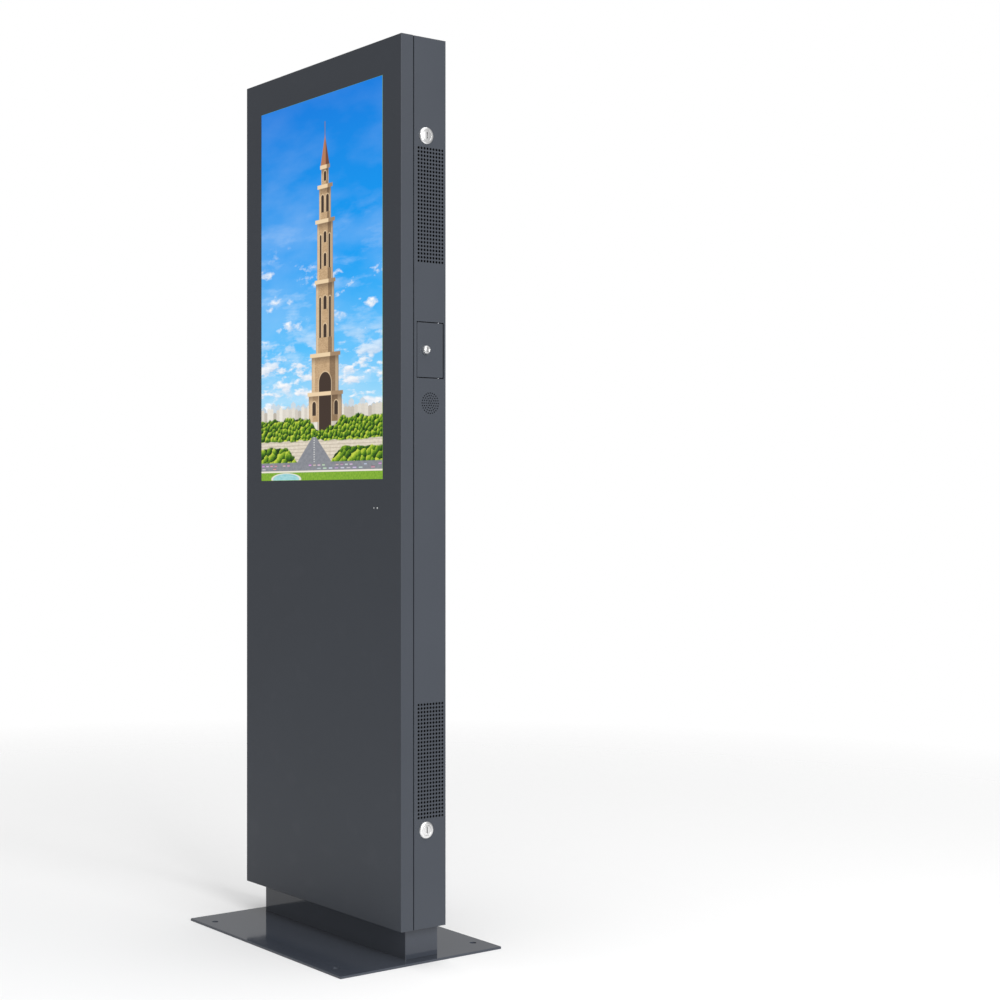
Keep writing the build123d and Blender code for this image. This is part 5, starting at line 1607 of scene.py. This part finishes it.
@dataclass
class Cabinet:
    """The whole kiosk, sub-assembly by sub-assembly."""

    hatch_gaps: tuple[float, float, float] = (1.1 * MM, 2.0 * MM, 1.6 * MM)
    plain: dict[Finish, tuple[str, ...]] = field(default_factory=lambda: {
        Finish.ZINC: ("base_screws", "plinth_bolts", "earth_stud", "bracket_screws", "hinge_pin", "hatch_pin",
                      "plate_spacers", "din_rail"),
        Finish.HINGE: ("hinge_leaf_casing", "hinge_leaf_door"),
        Finish.ANODISED: ("glass_frame", "port_plate", "data_ports"),
        Finish.BLACK: ("cable_gland", "sensor_board", "rocker_housing", "fan_frames", "speaker_baskets",
                       "fan_rotor_right_upper", "fan_rotor_right_lower", "fan_rotor_left_upper",
                       "fan_rotor_left_lower"),
        Finish.GREY: ("circuit_breaker", "terminal_block"),
        Finish.SWITCH: ("power_rocker", "breaker_lever"),
        Finish.BOARD: ("driver_board", "touch_controller"),
        Finish.FILTER: ("dust_filters",),
        Finish.PAPER: ("speaker_cones",),
        Finish.LENS: ("sensor_lens", "status_lamp"),
    })

    def dress(self) -> None:
        """Gives the carried-over parts their finishes."""
        for finish, nodes in self.plain.items():
            for node in nodes:
                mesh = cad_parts[node].data
                mesh.materials.clear()
                mesh.materials.append(finish.material)
                for polygon in mesh.polygons:
                    polygon.material_index = 0

    def equipment_plate(self) -> CutPlate:
        """The equipment plate, with a row of cable-tie slots down each edge and across the middle."""
        low, high = span("equipment_plate")
        middle = (low.x + high.x) / 2
        cuts = []
        count = int((high.z - low.z) / (30 * MM)) - 2
        for i in range(count):
            z = (low.z + high.z) / 2 + (i - (count - 1) / 2) * 30 * MM
            for x in (low.x + 6 * MM, high.x - 6 * MM):
                cuts.append(([(x + px, z + pz) for px, pz in stadium(14 * MM, 4 * MM, 4)], 1.0))
        for i in range(9):
            x = middle + (i - 4) * 34 * MM
            for z in (low.z + 100 * MM, high.z - 40 * MM):
                cuts.append(([(x + pz, z + px) for px, pz in stadium(16 * MM, 4 * MM, 4)], 1.0))
        return CutPlate("equipment_plate", Body.ROOT, (Finish.ZINC,), cuts, False)

    def locks(self) -> list[tuple[CamLock, tuple[str, ...]]]:
        """The three locks and the CAD nodes that each replaces."""
        low, high = span("door_lock_bodies")
        hatch_low, hatch_high = span("hatch_lock_body")
        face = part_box("side_panel_right")[1][0]
        radius = 15 * MM
        middle_y = (low.y + high.y) / 2
        upper = CamLock("upper_door_lock", Vector((face, middle_y, high.z - radius)), Body.ROOT,
                        Body.UPPER_LOCK, "lock_cylinder_upper")
        lower = CamLock("lower_door_lock", Vector((face, middle_y, low.z + radius)), Body.ROOT,
                        Body.LOWER_LOCK, "lock_cylinder_lower")
        centre = Vector((face, (hatch_low.y + hatch_high.y) / 2, (hatch_low.z + hatch_high.z) / 2))
        hatch = CamLock("hatch_lock_barrel", centre, Body.HATCH, Body.HATCH_LOCK, "hatch_lock_cylinder",
                        head=8.0 * MM, proud=7.5 * MM, barrel=5.5 * MM, plug=4.5 * MM, depth=9.0 * MM,
                        nut=7.5 * MM, nut_t=3.0 * MM, slot=(7.0 * MM, 1.4 * MM, 5.0 * MM),
                        cam=(8.0 * MM, 21.0 * MM, 2.5 * MM), cam_forward=False, pad=4.0 * MM)
        return [(upper, ("door_lock_bodies",)), (lower, ()), (hatch, ("hatch_lock_body",))]

    def build(self) -> None:
        """Builds everything."""
        self.dress()
        locks = self.locks()
        hatch_low, hatch_high = span("hatch_door")
        front, rear, ends = self.hatch_gaps
        opening = (hatch_low.y - front, hatch_high.y + rear, hatch_low.z - ends, hatch_high.z + ends)
        centres = tuple((lock.centre.y, lock.centre.z) for lock, _ in locks[:2])
        SidePanel(Side.RIGHT, "side_panel_right", locks=centres, hatch=opening).build()
        SidePanel(Side.LEFT, "side_panel_left").build()
        SheetMetal().build()
        Screen().build()
        DisplayBack().build()
        self.equipment_plate().build()
        Wiring().build()
        for lock, replaced in locks:
            lock.build(replaced)
        Fastenings().build()


# ---------------------------------------------------------------- studio


@dataclass
class Studio:
    """White floor, bright surroundings, soft lights and the camera."""

    camera_at: tuple[float, float, float] = (2.6515, -1.8494, 0.8004)
    camera_turn: float = 55.19
    focal: float = 63.115
    shift: float = 0.1617
    floor_size: float = 16.0
    fade_near: float = 0.8
    fade_far: float = 3.2
    surround: float = 0.46

    def build(self) -> None:
        """Sets the whole studio up."""
        self.world()
        self.floor()
        self.light("overhead", (0.3, 0.0, 5.5), (0.0, 0.0, 0.0), 6.0, 182.0)
        self.light("key_right", (4.6, -0.4, 2.3), (0.25, 0.0, 1.0), 2.6, 205.0)
        self.camera()

    def world(self) -> None:
        """Even surroundings, white where the camera sees them."""
        world = bpy.data.worlds.new("studio")
        world.use_nodes = True
        graph = Graph(world.node_tree)
        path = graph.node("ShaderNodeLightPath", out="Is Camera Ray")
        strength = path * (1.0 - self.surround) + self.surround
        background = graph.node("ShaderNodeBackground", {}, {"Color": (1.0, 1.0, 1.0), "Strength": strength})
        output = world.node_tree.nodes.new("ShaderNodeOutputWorld")
        world.node_tree.links.new(background.socket, output.inputs[0])
        bpy.context.scene.world = world

    def floor(self) -> None:
        """A wide pale floor that fades into the surroundings."""
        half = self.floor_size / 2
        mesh = bpy.data.meshes.new("floor")
        corners = [(-half, -half, 0.0), (half, -half, 0.0), (half, half, 0.0), (-half, half, 0.0)]
        mesh.from_pydata(corners, [], [(0, 1, 2, 3)])
        shader = Shader("floor_white")
        away = shader.node("ShaderNodeVectorMath", {"operation": "LENGTH"}, {0: shader.place()}, "Value")
        fade = 1 - away.over((self.fade_near + self.fade_far) / 2, self.fade_far - self.fade_near)
        mesh.materials.append(shader.paint(Base_Color=(0.87, 0.87, 0.87), Roughness=0.9, Alpha=fade))
        scene_object("floor", mesh)

    def light(self, name: str, at: Sequence[float], to: Sequence[float], size: float, power: float) -> None:
        """Adds a square soft light that looks at a point."""
        lamp = bpy.data.lights.new(name, "AREA")
        lamp.size, lamp.energy = size, power
        obj = bpy.data.objects.new(name, lamp)
        obj.location = at
        obj.rotation_euler = (Vector(to) - Vector(at)).to_track_quat("-Z", "Y").to_euler()
        bpy.context.scene.collection.objects.link(obj)

    def camera(self) -> None:
        """A level camera in front and to the right, a little below half the kiosk's height."""
        lens = bpy.data.cameras.new("camera")
        lens.sensor_width, lens.lens, lens.shift_x = 36.0, self.focal, self.shift
        lens.clip_end = 200.0
        obj = bpy.data.objects.new("camera", lens)
        obj.location = self.camera_at
        obj.rotation_euler = (math.radians(90), 0.0, math.radians(self.camera_turn))
        bpy.context.scene.collection.objects.link(obj)
        bpy.context.scene.camera = obj
        bpy.context.scene.view_settings.view_transform = "Standard"


def main() -> None:
    """Builds the kiosk and its studio."""
    logging.basicConfig(level=logging.INFO, format="%(name)s %(message)s")
    Cabinet().build()
    Studio().build()


if __name__ == "__main__":
    main()
